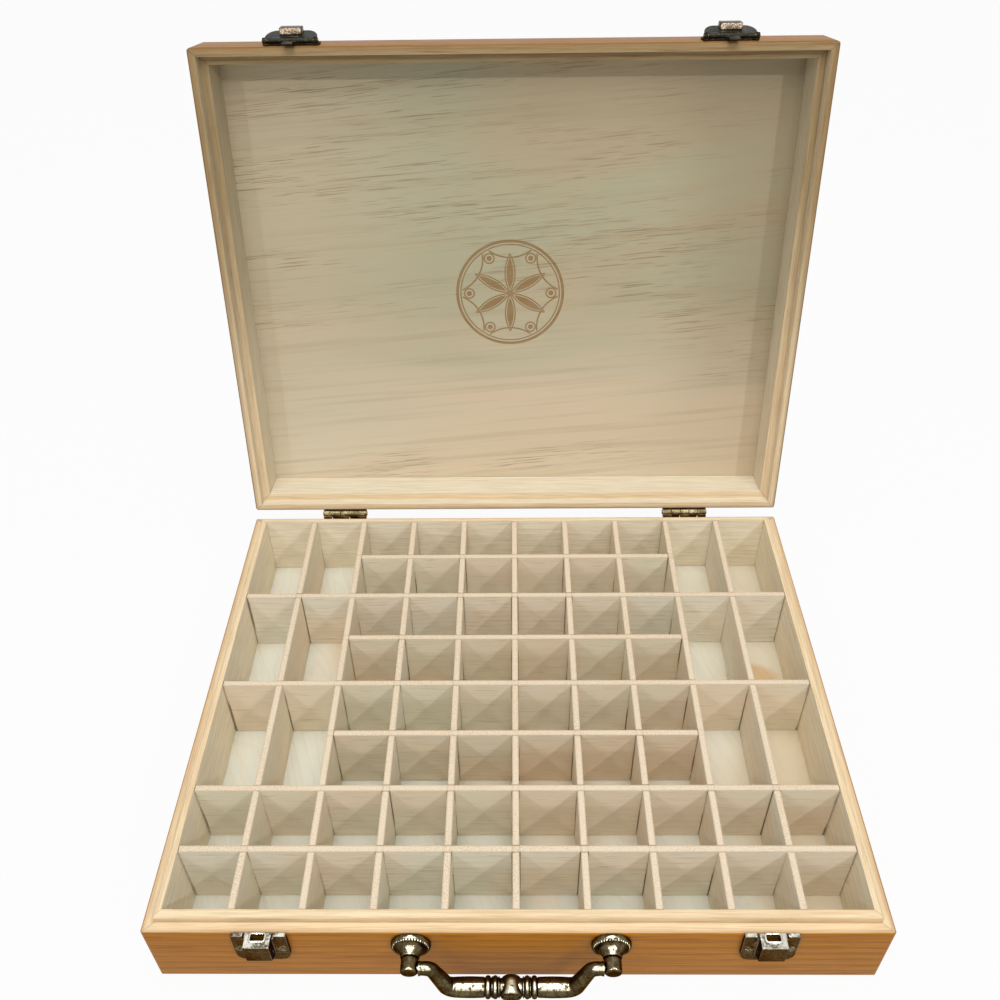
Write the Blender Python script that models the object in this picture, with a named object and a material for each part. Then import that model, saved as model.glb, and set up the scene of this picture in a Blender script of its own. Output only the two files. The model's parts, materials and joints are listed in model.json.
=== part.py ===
"""Wooden storage box for small bottles: a divided base, a hinged lid, two latches and a bail handle.

The origin is the centre of the base's underside, +X is right, +Y is the hinge side and +Z is up.
The lid is modelled closed and then turned open about its hinge axis, as far as the hinges' stops.
"""

import math

import bmesh
import bpy
from mathutils import Matrix, Vector

MM = 0.001

# The whole box
BOX_WIDTH = 360 * MM
BOX_DEPTH = 296 * MM
BASE_HEIGHT = 45 * MM
LID_HEIGHT = 34 * MM
WALL = 9.5 * MM
LID_OPENING = math.radians(101)
GAP = 0.25 * MM
OVERRUN = 2 * MM
RIM_GAP = 0.3 * MM

# Boards
CORNER_RADIUS = 2.2 * MM
MITRE_GAP = 0.12 * MM
BASE_BAND = 5.7 * MM
LIP_HEIGHT = 5.3 * MM
LIP_SHOULDER = 2.0 * MM
RIM_ROUND = 1.2 * MM
FOOT_ROUND = 3.0 * MM
LID_BAND = 4.7 * MM
LID_REBATE = 6.2 * MM
CROWN_ROUND = 4.0 * MM
BOTTOM_THICKNESS = 6.0 * MM
BOTTOM_LAP = 4.5 * MM
PANEL_THICKNESS = 4.0 * MM
PANEL_LAP = 4.6 * MM
ARC_STEPS = 3

# Dividers
SLAT_THICKNESS = 3.5 * MM
SLAT_TOP_BELOW_LIP = 0.55 * MM
SLAT_FLOOR_GAP = 0.35 * MM
SLAT_END_GAP = 0.5 * MM
SIDE_CELL_WIDTH = 31.55 * MM
BACK_CELL_DEPTH = 32.65 * MM
FRONT_CELL_DEPTH = 30.25 * MM
COLUMNS = 10
ROWS = 8
SIDE_COLUMNS = 2
SHORT_ROW_LINES = (1, 3, 5)

# Screws of the hinges and keepers
SCREW_HEAD_RADIUS = 2.1 * MM
SCREW_SHANK_RADIUS = 1.0 * MM
SCREW_HEAD_DEPTH = 1.1 * MM
SCREW_LENGTH = 8.0 * MM
SCREW_HOLE_SPARE = 0.5 * MM
RECESS_WIDTH = 0.7 * MM
RECESS_SPAN = 2.4 * MM
RECESS_DEPTH = 0.7 * MM
SCREW_SIDES = 16

# Hinges
HINGE_FROM_END = 62 * MM
HINGE_WIDTH = 30 * MM
HINGE_PROUD = 3.3 * MM
HINGE_ABOVE_RIM = 1.3 * MM
KNUCKLES = 5
KNUCKLE_RADIUS = 2.9 * MM
KNUCKLE_GAP = 0.3 * MM
LEAF_THICKNESS = 1.0 * MM
LEAF_HEIGHT = 16 * MM
LEAF_SETBACK = 3.3 * MM
LEAF_CORNER = 1.5 * MM
LEAF_SCREW_X = 8.5 * MM
LEAF_SCREW_DROP = 9.8 * MM
HINGE_PIN_RADIUS = 1.1 * MM
HINGE_PIN_LENGTH = 31 * MM
STOP_THICKNESS = 1.0 * MM
STOP_REACH = 8.5 * MM
ROUND_SIDES = 24

# Latches: the keepers on the base
LATCH_FROM_END = 58.4 * MM
LATCH_SHIFT = -0.9 * MM
KEEPER_WIDTH = 26.4 * MM
KEEPER_ABOVE_RIM = 2.2 * MM
KEEPER_HEIGHT = 23.2 * MM
KEEPER_EAR_PROUD = 2.4 * MM
KEEPER_CORNER = 5.0 * MM
KEEPER_TOP_CORNER = 1.2 * MM
KEEPER_BOX_WIDTH = 12.4 * MM
KEEPER_BOX_PROUD = 8.0 * MM
KEEPER_BOX_FRONT = 12.9 * MM
KEEPER_BOX_HEIGHT = 17.5 * MM
KEEPER_SHEET = 1.0 * MM
KEEPER_NOTCH_WIDTH = 0.8 * MM
KEEPER_NOTCH_DEPTH = 2.4 * MM
WINDOW_WIDTH = 6.4 * MM
WINDOW_NEAR = 1.4 * MM
WINDOW_FAR = 4.3 * MM
KEEPER_SCREW_X = 10.2 * MM
KEEPER_SCREW_DROP = 11.8 * MM

# Latches: plate, pin and lever on the lid
LATCH_AXIS_PROUD = 2.75 * MM
LATCH_AXIS_ABOVE_RIM = 3.9 * MM
LATCH_WIDTH = 30.6 * MM
LUG_WIDTH = 2.2 * MM
LUG_RADIUS = 1.6 * MM
LATCH_PLATE_THICKNESS = 0.9 * MM
LATCH_PLATE_START = 2.0 * MM
LATCH_PLATE_END = 12.8 * MM
LATCH_PLATE_CORNER = 3.0 * MM
LATCH_PIN_RADIUS = 0.7 * MM
LATCH_PIN_PROUD = 0.4 * MM
LATCH_BORE_RADIUS = 0.95 * MM
BARREL_RADIUS = 1.4 * MM
LEVER_SIDE_GAP = 0.35 * MM
LEVER_LENGTH = 12.0 * MM
LEVER_SHEET = 1.0 * MM
LEVER_SHOULDER_WIDTH = 29.2 * MM
LEVER_SHOULDER_SIDE = 1.5 * MM
LEVER_TIP_WIDTH = 17.0 * MM
LEVER_STEPS = 5
THUMB_WIDTH = 12.4 * MM
THUMB_NEAR = 4.2 * MM
THUMB_FAR = 11.2 * MM
THUMB_NEAR_HEIGHT = 5.2 * MM
THUMB_FAR_HEIGHT = 3.4 * MM
THUMB_BEVEL = 0.5 * MM
TONGUE_LENGTH = 10.0 * MM
TONGUE_THICKNESS = 0.9 * MM
TONGUE_SETBACK = 0.7 * MM
TONGUE_ROOT_WIDTH = 7.4 * MM
TONGUE_TIP_WIDTH = 5.8 * MM
TONGUE_TAPER = 2.2 * MM
BARB_DEPTH = 0.5 * MM
BARB_LENGTH = 2.0 * MM
LEVER_LIFT = math.radians(18)

# Handle
HANDLE_SPACING = 96 * MM
HANDLE_SHIFT = -2.6 * MM
HANDLE_BELOW_RIM = 8.0 * MM
POST_PROUD = 15.1 * MM
POST_RADIUS = 4.15 * MM
POST_NECK_RADIUS = 4.4 * MM
POST_GROOVE_DEPTH = 0.4 * MM
POST_GROOVE_WIDTH = 0.4 * MM
POST_END_ROUND = 0.9 * MM
ROSETTE_RADIUS = 9.7 * MM
ROSETTE_THICKNESS = 1.8 * MM
FLARE_END = 8.0 * MM
FLARE_SHARES = ((0, 1), (0.25, 0.84), (0.5, 0.55), (0.75, 0.24), (1, 0))
PIVOT_PROUD = 12.6 * MM
PIVOT_RADIUS = 1.6 * MM
PIVOT_HOLE_RADIUS = 1.9 * MM
PIVOT_DEPTH = 3.4 * MM
BOLT_RADIUS = 1.9 * MM
BOLT_HOLE_RADIUS = 2.2 * MM
BOLT_HEAD_RADIUS = 3.6 * MM
BOLT_HEAD_HEIGHT = 2.1 * MM
BOLT_INTO_POST = 5.0 * MM
POST_SIDES = 32
ARM_RADIUS = 3.1 * MM
ARM_START_X = 27.0 * MM
ARM_SLOPE = math.radians(70)
LOWER_BEND = 5.2 * MM
UPPER_BEND = 4.0 * MM
BEND_STEPS = 5
BAR_DROP = 20.0 * MM
BAR_RADIUS = 4.6 * MM
RING_RADIUS = 5.3 * MM
GROOVE_RADIUS = 4.1 * MM
CENTRE_RADIUS = 4.9 * MM
CENTRE_HALF = 5.0 * MM
RINGS_START = 6.3 * MM
RING_WIDTH = 2.8 * MM
RING_PITCH = 3.6 * MM
RINGS = 2
BOSS_RADIUS = 5.4 * MM
BOSS_REACH = 4.9 * MM
BOSS_ROUND = 0.6 * MM
BAIL_SIDES = 16
SMOOTH_ANGLE = math.radians(35)

# Heights and places that follow from the sizes above
BACK_FACE_Y = BOX_DEPTH / 2
FRONT_FACE_Y = -BOX_DEPTH / 2
LID_RIM_Z = BASE_HEIGHT + RIM_GAP
HINGE_AXIS = Vector((0, BACK_FACE_Y + HINGE_PROUD, BASE_HEIGHT + HINGE_ABOVE_RIM))
HANDLE_AXIS = Vector((HANDLE_SHIFT, FRONT_FACE_Y - PIVOT_PROUD, BASE_HEIGHT - HANDLE_BELOW_RIM))
SLAT_TOP_Z = BASE_HEIGHT + LIP_HEIGHT - SLAT_TOP_BELOW_LIP
SLAT_BOTTOM_Z = BOTTOM_THICKNESS + SLAT_FLOOR_GAP
SLAT_LAP_Z = (SLAT_TOP_Z + SLAT_BOTTOM_Z) / 2
INNER_HALF_WIDTH = BOX_WIDTH / 2 - WALL
INNER_HALF_DEPTH = BOX_DEPTH / 2 - WALL
FIRST_COLUMN_LINE_X = SIDE_CELL_WIDTH + SLAT_THICKNESS / 2 - INNER_HALF_WIDTH
FIRST_ROW_LINE_Y = INNER_HALF_DEPTH - BACK_CELL_DEPTH - SLAT_THICKNESS / 2
LAST_ROW_LINE_Y = FRONT_CELL_DEPTH + SLAT_THICKNESS / 2 - INNER_HALF_DEPTH
COLUMN_PITCH = -FIRST_COLUMN_LINE_X / (COLUMNS / 2 - 1)
ROW_PITCH = (FIRST_ROW_LINE_Y - LAST_ROW_LINE_Y) / (ROWS - 2)
HINGE_X = BOX_WIDTH / 2 - HINGE_FROM_END
LATCH_X = BOX_WIDTH / 2 - LATCH_FROM_END

# Colour, roughness and metallic value of each finish
FINISHES = {
    "varnished_pine": ((0.55, 0.27, 0.09), 0.38, 0.0),
    "slat_pine": ((0.74, 0.58, 0.40), 0.70, 0.0),
    "panel_ply": ((0.70, 0.60, 0.42), 0.60, 0.0),
    "old_brass": ((0.24, 0.19, 0.10), 0.34, 1.0),
    "dark_bronze": ((0.07, 0.06, 0.045), 0.40, 1.0),
    "worn_nickel": ((0.50, 0.48, 0.42), 0.26, 1.0),
}


def clear_scene():
    for thing in list(bpy.data.objects):
        bpy.data.objects.remove(thing, do_unlink=True)


def mesh_of(points, faces):
    """A mesh with its faces turned outward; points that coincide are one point."""
    index_of = {}
    unique = []
    order = []
    for point in points:
        key = tuple(round(value / MM, 6) for value in point)
        if key not in index_of:
            index_of[key] = len(unique)
            unique.append(point)
        order.append(index_of[key])
    shape = bmesh.new()
    corners = [shape.verts.new(point) for point in unique]
    for face in faces:
        ring = []
        for index in face:
            corner = corners[order[index]]
            if corner not in ring:
                ring.append(corner)
        if len(ring) > 2:
            shape.faces.new(ring)
    bmesh.ops.recalc_face_normals(shape, faces=shape.faces)
    mesh = bpy.data.meshes.new("shape")
    shape.to_mesh(mesh)
    shape.free()
    return mesh


def lofted(rings):
    """A closed body through rings of equal point count, capped at both ends."""
    count = len(rings[0])
    points = [point for ring in rings for point in ring]
    faces = []
    for step in range(len(rings) - 1):
        near = step * count
        far = near + count
        for side in range(count):
            after = (side + 1) % count
            faces.append((near + side, near + after, far + after, far + side))
    faces.append(tuple(range(count)))
    faces.append(tuple(range(len(points) - count, len(points))))
    return mesh_of(points, faces)


def slab(outline, near, far):
    """An (x, z) outline carried between two distances in front of the face y = 0."""
    return lofted([[(x, -near, z) for x, z in outline], [(x, -far, z) for x, z in outline]])


def strip(profile, left, right):
    """A (distance in front of the face, z) profile carried from x = left to x = right."""
    return lofted([[(left, -out, z) for out, z in profile], [(right, -out, z) for out, z in profile]])


def cylinder_x(radius, left, right, sides=ROUND_SIDES, at=(0, 0)):
    angles = [2 * math.pi * (side + 0.5) / sides for side in range(sides)]
    profile = [(at[0] + radius * math.cos(angle), at[1] + radius * math.sin(angle)) for angle in angles]
    return strip(profile, left, right)


def turned(profile, sides):
    """A solid of revolution about the y axis; the profile holds (radius, distance along -y)."""
    rings = []
    for radius, out in profile:
        angles = [2 * math.pi * side / sides for side in range(sides)]
        rings.append([(radius * math.cos(angle), -out, radius * math.sin(angle)) for angle in angles])
    return lofted(rings)


def moved(mesh, offset):
    mesh.transform(Matrix.Translation(offset))
    return mesh


def turned_about_x(mesh, angle):
    mesh.transform(Matrix.Rotation(angle, 4, "X"))
    return mesh


def triangulated(mesh):
    shape = bmesh.new()
    shape.from_mesh(mesh)
    bmesh.ops.triangulate(shape, faces=shape.faces)
    shape.to_mesh(mesh)
    shape.free()
    return mesh


def combined(mesh, tool, operation):
    """The Boolean of two meshes, made with the exact solver; triangles keep every face truly flat."""
    body = bpy.data.objects.new("body", triangulated(mesh))
    other = bpy.data.objects.new("tool", triangulated(tool))
    for thing in (body, other):
        bpy.context.scene.collection.objects.link(thing)
    change = body.modifiers.new("change", "BOOLEAN")
    change.operation = operation
    change.solver = "EXACT"
    change.object = other
    evaluated = body.evaluated_get(bpy.context.evaluated_depsgraph_get())
    result = bpy.data.meshes.new_from_object(evaluated)
    for thing in (body, other):
        bpy.data.objects.remove(thing, do_unlink=True)
    return result


def cut(mesh, *tools):
    for tool in tools:
        mesh = combined(mesh, tool, "DIFFERENCE")
    return mesh


def fused(mesh, *parts):
    for part in parts:
        mesh = combined(mesh, part, "UNION")
    return mesh


def bevelled(mesh, width, segments=2):
    shape = bmesh.new()
    shape.from_mesh(mesh)
    bmesh.ops.bevel(shape, geom=shape.edges, offset=width, segments=segments, profile=0.5, affect="EDGES")
    shape.to_mesh(mesh)
    shape.free()
    return mesh


def arc(centre, radius, start_degrees, end_degrees, steps=ARC_STEPS):
    """Points on an arc, both ends included, in the plane of an outline."""
    points = []
    for step in range(steps + 1):
        angle = math.radians(start_degrees + (end_degrees - start_degrees) * step / steps)
        points.append((centre[0] + radius * math.cos(angle), centre[1] + radius * math.sin(angle)))
    return points


def rounded_rectangle(left, right, bottom, top, low_radius, high_radius):
    outline = arc((left + low_radius, bottom + low_radius), low_radius, 180, 270)
    outline += arc((right - low_radius, bottom + low_radius), low_radius, 270, 360)
    outline += arc((right - high_radius, top - high_radius), high_radius, 0, 90)
    outline += arc((left + high_radius, top - high_radius), high_radius, 90, 180)
    return outline


def finish_material(name, finish):
    colour, roughness, metallic = FINISHES[finish]
    material = bpy.data.materials.new(name)
    material.use_nodes = True
    surface = material.node_tree.nodes["Principled BSDF"]
    surface.inputs["Base Color"].default_value = (*colour, 1)
    surface.inputs["Roughness"].default_value = roughness
    surface.inputs["Metallic"].default_value = metallic
    return material


def node(name, mesh, finish, at=(0, 0, 0), turn=0.0, carrier=None):
    """One named piece: `at` is its place with the lid closed, `turn` its turn about the upright axis."""
    thing = bpy.data.objects.new(name, mesh)
    mesh.name = name
    mesh.shade_smooth()
    mesh.set_sharp_from_angle(angle=SMOOTH_ANGLE)
    mesh.materials.clear()
    mesh.materials.append(finish_material(name, finish))
    bpy.context.scene.collection.objects.link(thing)
    place = Vector(at)
    if carrier:
        empty, origin = carrier
        thing.parent = empty
        place = place - origin
    thing.location = place
    thing.rotation_euler = (0, 0, turn)
    return thing


def axis_empty(name, at, turn, carrier=None):
    """An empty on a joint's axis, turned about X; returned with its place in the closed box."""
    empty = bpy.data.objects.new(name, None)
    bpy.context.scene.collection.objects.link(empty)
    place = Vector(at)
    if carrier:
        parent, origin = carrier
        empty.parent = parent
        place = place - origin
    empty.location = place
    empty.rotation_euler = (turn, 0, 0)
    return empty, Vector(at)


def mitred_board(profile, half_length):
    """A board along X with mitred ends and a rounded outer corner.

    The profile holds (distance in from the outer face, z); the outer face is y = 0 and inward is +y.
    """
    stations = []
    for step in range(ARC_STEPS + 1):
        angle = math.radians(45 + 45 * step / ARC_STEPS)
        along = CORNER_RADIUS - CORNER_RADIUS * math.cos(angle)
        inward = CORNER_RADIUS - CORNER_RADIUS * math.sin(angle)
        stations.append((along, inward))
    rings = []
    for sign, order in ((-1, stations), (1, stations[::-1])):
        for along, inward in order:
            ring = []
            for depth, z in profile:
                kept = max(depth, inward)
                from_corner = max(along, kept) + MITRE_GAP
                ring.append((sign * (half_length - from_corner), kept, z))
            rings.append(ring)
    return lofted(rings)


def base_profile():
    """Section of a base board: rounded foot, outer band, lip, and the rebate under the floor."""
    rebate_depth = WALL - BOTTOM_LAP
    profile = arc((FOOT_ROUND, FOOT_ROUND), FOOT_ROUND, 270, 180)
    profile += arc((RIM_ROUND, BASE_HEIGHT - RIM_ROUND), RIM_ROUND, 180, 90)
    profile.append((BASE_BAND, BASE_HEIGHT))
    lip_top = BASE_HEIGHT + LIP_HEIGHT
    profile += arc((BASE_BAND + LIP_SHOULDER, lip_top - LIP_SHOULDER), LIP_SHOULDER, 180, 90)
    profile.append((WALL, lip_top))
    profile.append((WALL, BOTTOM_THICKNESS + GAP))
    profile.append((rebate_depth, BOTTOM_THICKNESS + GAP))
    profile.append((rebate_depth, 0))
    return profile


def lid_profile():
    """Section of a lid board, measured up from its rim: band, rebate for the lip, ledge for the panel."""
    panel_bed = LID_HEIGHT - PANEL_THICKNESS - GAP
    profile = arc((RIM_ROUND, RIM_ROUND), RIM_ROUND, 270, 180)
    profile += arc((CROWN_ROUND, LID_HEIGHT - CROWN_ROUND), CROWN_ROUND, 180, 90)
    profile.append((WALL - PANEL_LAP, LID_HEIGHT))
    profile.append((WALL - PANEL_LAP, panel_bed))
    profile.append((WALL, panel_bed))
    profile.append((WALL, LID_REBATE))
    profile.append((LID_BAND, LID_REBATE))
    profile.append((LID_BAND, 0))
    return profile


def drill(radius, x, z, near, far):
    """A round hole tool through a face, from `near` to `far` in from it."""
    profile = [(radius, -far), (radius, -near)]
    return moved(turned(profile, SCREW_SIDES), (x, 0, z))


def screw_hole(x, z):
    """Pilot hole in the wood for a short screw whose head lies in a plate on the face."""
    return drill(SCREW_SHANK_RADIUS + GAP, x, z, -OVERRUN, SCREW_LENGTH + SCREW_HOLE_SPARE)


def screw_mesh(head_proud):
    """A countersunk screw whose head's face lies `head_proud` in front of the wood; it points along +y."""
    tip = head_proud - SCREW_LENGTH
    neck = head_proud - SCREW_HEAD_DEPTH
    point = tip + SCREW_SHANK_RADIUS
    profile = [
        (SCREW_HEAD_RADIUS, head_proud),
        (SCREW_SHANK_RADIUS, neck),
        (SCREW_SHANK_RADIUS, point),
        (SCREW_SHANK_RADIUS / 3, tip),
    ]
    screw = turned(profile, SCREW_SIDES)
    half = RECESS_SPAN / 2
    bar = RECESS_WIDTH / 2
    floor = head_proud - RECESS_DEPTH
    cross = [(-half, -bar), (-bar, -bar), (-bar, -half), (bar, -half), (bar, -bar), (half, -bar)]
    cross += [(half, bar), (bar, bar), (bar, half), (-bar, half), (-bar, bar), (-half, bar)]
    return cut(screw, slab(cross, floor, head_proud + OVERRUN))


def countersink(x, z, face_proud):
    """Tool for a countersunk hole in a plate whose outer face lies `face_proud` off the wood."""
    neck = face_proud - SCREW_HEAD_DEPTH - GAP
    profile = [
        (SCREW_HEAD_RADIUS + GAP + OVERRUN, face_proud + OVERRUN),
        (SCREW_HEAD_RADIUS + GAP, face_proud),
        (SCREW_SHANK_RADIUS + GAP, neck),
        (SCREW_SHANK_RADIUS + GAP, -OVERRUN),
    ]
    return moved(turned(profile, SCREW_SIDES), (x, 0, z))


def front_hardware_x():
    """Places along X of the two latches, left and right."""
    return {"left": LATCH_SHIFT - LATCH_X, "right": LATCH_SHIFT + LATCH_X}


def handle_post_x():
    return {"left": HANDLE_SHIFT - HANDLE_SPACING / 2, "right": HANDLE_SHIFT + HANDLE_SPACING / 2}


def build_base_boards():
    profile = base_profile()
    front = mitred_board(profile, BOX_WIDTH / 2)
    keeper_screw_z = BASE_HEIGHT + KEEPER_ABOVE_RIM - KEEPER_SCREW_DROP
    for latch_x in front_hardware_x().values():
        for side in (-1, 1):
            front = cut(front, screw_hole(latch_x + side * KEEPER_SCREW_X, keeper_screw_z))
    for post_x in handle_post_x().values():
        front = cut(front, drill(BOLT_HOLE_RADIUS, post_x, HANDLE_AXIS.z, -OVERRUN, WALL + OVERRUN))
    node("base_front_board", front, "varnished_pine", at=(0, FRONT_FACE_Y, 0))

    back = mitred_board(profile, BOX_WIDTH / 2)
    for hinge_x in (-HINGE_X, HINGE_X):
        for side in (-1, 1):
            back = cut(back, screw_hole(hinge_x + side * LEAF_SCREW_X, HINGE_AXIS.z - LEAF_SCREW_DROP))
    node("base_back_board", back, "varnished_pine", at=(0, BACK_FACE_Y, 0), turn=math.pi)

    for name, sign in (("left", -1), ("right", 1)):
        board = mitred_board(profile, BOX_DEPTH / 2)
        place = (sign * BOX_WIDTH / 2, 0, 0)
        node(f"base_{name}_board", board, "varnished_pine", at=place, turn=sign * math.pi / 2)


def build_bottom_panel():
    half_width = INNER_HALF_WIDTH + BOTTOM_LAP - GAP
    half_depth = INNER_HALF_DEPTH + BOTTOM_LAP - GAP
    corners = [(-half_width, half_depth), (half_width, half_depth)]
    corners += [(half_width, -half_depth), (-half_width, -half_depth)]
    rings = [[(x, y, z) for x, y in corners] for z in (0, BOTTOM_THICKNESS)]
    node("base_bottom_panel", lofted(rings), "panel_ply")


def slat_mesh(start, end, crossings, notch_from_top):
    """A slat along local X, half lapped at each crossing from its upper or its lower edge."""
    half_notch = SLAT_THICKNESS / 2 + GAP
    lap = SLAT_LAP_Z - GAP / 2 if notch_from_top else SLAT_LAP_Z + GAP / 2
    notched, plain = (SLAT_TOP_Z, SLAT_BOTTOM_Z) if notch_from_top else (SLAT_BOTTOM_Z, SLAT_TOP_Z)
    outline = [(end, plain), (start, plain), (start, notched)]
    for crossing in sorted(crossings):
        outline += [(crossing - half_notch, notched), (crossing - half_notch, lap)]
        outline += [(crossing + half_notch, lap), (crossing + half_notch, notched)]
    outline.append((end, notched))
    return slab(outline, -SLAT_THICKNESS / 2, SLAT_THICKNESS / 2)


def row_line_y(line):
    """Centre of the slat behind which `line` rows lie, counted from the back."""
    return FIRST_ROW_LINE_Y - (line - 1) * ROW_PITCH


def column_line_x(line):
    """Centre of the slat left of which `line` columns lie."""
    return FIRST_COLUMN_LINE_X + (line - 1) * COLUMN_PITCH


def build_dividers():
    row_lines = range(1, ROWS)
    full_lines = [line for line in row_lines if line not in SHORT_ROW_LINES]
    middle_columns = range(SIDE_COLUMNS + 1, COLUMNS - SIDE_COLUMNS)
    half_length = INNER_HALF_DEPTH - SLAT_END_GAP
    for line in range(1, COLUMNS):
        crossed = row_lines if line in middle_columns else full_lines
        places = [row_line_y(row) for row in crossed]
        slat = slat_mesh(-half_length, half_length, places, notch_from_top=True)
        node(f"divider_long_{line}", slat, "slat_pine", at=(column_line_x(line), 0, 0), turn=math.pi / 2)

    half_width = INNER_HALF_WIDTH - SLAT_END_GAP
    for line in full_lines:
        places = [column_line_x(column) for column in range(1, COLUMNS)]
        slat = slat_mesh(-half_width, half_width, places, notch_from_top=False)
        node(f"divider_cross_{line}", slat, "slat_pine", at=(0, row_line_y(line), 0))
    short_half = column_line_x(COLUMNS - SIDE_COLUMNS) - SLAT_THICKNESS / 2 - GAP
    for line in SHORT_ROW_LINES:
        places = [column_line_x(column) for column in middle_columns]
        slat = slat_mesh(-short_half, short_half, places, notch_from_top=False)
        node(f"divider_short_{line}", slat, "slat_pine", at=(0, row_line_y(line), 0))


def build_lid_boards(lid):
    profile = lid_profile()
    front = mitred_board(profile, BOX_WIDTH / 2)
    node("lid_front_board", front, "varnished_pine", at=(0, FRONT_FACE_Y, LID_RIM_Z), carrier=lid)
    back = mitred_board(profile, BOX_WIDTH / 2)
    screw_z = HINGE_AXIS.z - LID_RIM_Z + LEAF_SCREW_DROP
    for hinge_x in (-HINGE_X, HINGE_X):
        for side in (-1, 1):
            back = cut(back, screw_hole(hinge_x + side * LEAF_SCREW_X, screw_z))
    node("lid_back_board", back, "varnished_pine", at=(0, BACK_FACE_Y, LID_RIM_Z), turn=math.pi, carrier=lid)
    for name, sign in (("left", -1), ("right", 1)):
        board = mitred_board(profile, BOX_DEPTH / 2)
        place = (sign * BOX_WIDTH / 2, 0, LID_RIM_Z)
        node(f"lid_{name}_board", board, "varnished_pine", at=place, turn=sign * math.pi / 2, carrier=lid)


def build_lid_panel(lid):
    half_width = INNER_HALF_WIDTH + PANEL_LAP - GAP
    half_depth = INNER_HALF_DEPTH + PANEL_LAP - GAP
    corners = [(-half_width, half_depth), (half_width, half_depth)]
    corners += [(half_width, -half_depth), (-half_width, -half_depth)]
    rings = [[(x, y, z) for x, y in corners] for z in (0, PANEL_THICKNESS)]
    place = (0, 0, LID_RIM_Z + LID_HEIGHT - PANEL_THICKNESS)
    node("lid_panel", lofted(rings), "panel_ply", at=place, carrier=lid)


def hinge_leaf(upward, with_stop):
    """One leaf about the hinge axis at the origin: plate, tabs and every second knuckle.

    The wood's face lies HINGE_PROUD along +y from the axis, and -y points away from the box.
    """
    near = GAP - HINGE_PROUD
    far = near + LEAF_THICKNESS
    half = HINGE_WIDTH / 2
    low, high = LEAF_SETBACK, LEAF_HEIGHT
    outline = rounded_rectangle(-half, half, low, high, LEAF_CORNER / 2, LEAF_CORNER)
    if not upward:
        outline = [(x, -z) for x, z in outline]
    leaf = slab(outline, near, far)
    direction = 1 if upward else -1
    pitch = HINGE_WIDTH / KNUCKLES
    first = 1 if upward else 0
    for index in range(first, KNUCKLES, 2):
        left = -half + index * pitch + KNUCKLE_GAP / 2
        right = left + pitch - KNUCKLE_GAP
        tab = [(near, 0), (far, 0), (far, direction * (low + GAP)), (near, direction * (low + GAP))]
        leaf = fused(leaf, strip(tab, left, right), cylinder_x(KNUCKLE_RADIUS, left, right))
        if with_stop:
            stop_near = far + GAP
            stop_far = stop_near + STOP_THICKNESS
            stop = [(stop_near, 0), (stop_far, 0), (stop_far, -STOP_REACH), (stop_near, -STOP_REACH)]
            closed_stop = turned_about_x(strip(stop, left, right), -LID_OPENING)
            leaf = fused(leaf, closed_stop)
    bore = cylinder_x(HINGE_PIN_RADIUS + GAP, -half - OVERRUN, half + OVERRUN)
    leaf = cut(leaf, bore)
    screw_z = direction * LEAF_SCREW_DROP
    for side in (-1, 1):
        hole = countersink(side * LEAF_SCREW_X, screw_z, far + HINGE_PROUD)
        leaf = cut(leaf, moved(hole, (0, HINGE_PROUD, 0)))
    return leaf


def build_hinges(lid):
    head_proud = GAP + LEAF_THICKNESS
    for name, x in (("left", -HINGE_X), ("right", HINGE_X)):
        axis = (x, HINGE_AXIS.y, HINGE_AXIS.z)
        base_leaf = hinge_leaf(upward=False, with_stop=False)
        node(f"{name}_hinge_base_leaf", base_leaf, "old_brass", at=axis, turn=math.pi)
        lid_leaf = hinge_leaf(upward=True, with_stop=True)
        node(f"{name}_hinge_lid_leaf", lid_leaf, "old_brass", at=axis, turn=math.pi, carrier=lid)
        pin = cylinder_x(HINGE_PIN_RADIUS, -HINGE_PIN_LENGTH / 2, HINGE_PIN_LENGTH / 2)
        node(f"{name}_hinge_pin", pin, "old_brass", at=axis)
        for number, side in enumerate((-1, 1), start=1):
            screw_x = x + side * LEAF_SCREW_X
            low = (screw_x, BACK_FACE_Y, HINGE_AXIS.z - LEAF_SCREW_DROP)
            high = (screw_x, BACK_FACE_Y, HINGE_AXIS.z + LEAF_SCREW_DROP)
            node(f"{name}_hinge_base_screw_{number}", screw_mesh(head_proud), "old_brass", at=low, turn=math.pi)
            lid_screw = screw_mesh(head_proud)
            node(f"{name}_hinge_lid_screw_{number}", lid_screw, "old_brass", at=high, turn=math.pi, carrier=lid)


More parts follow.
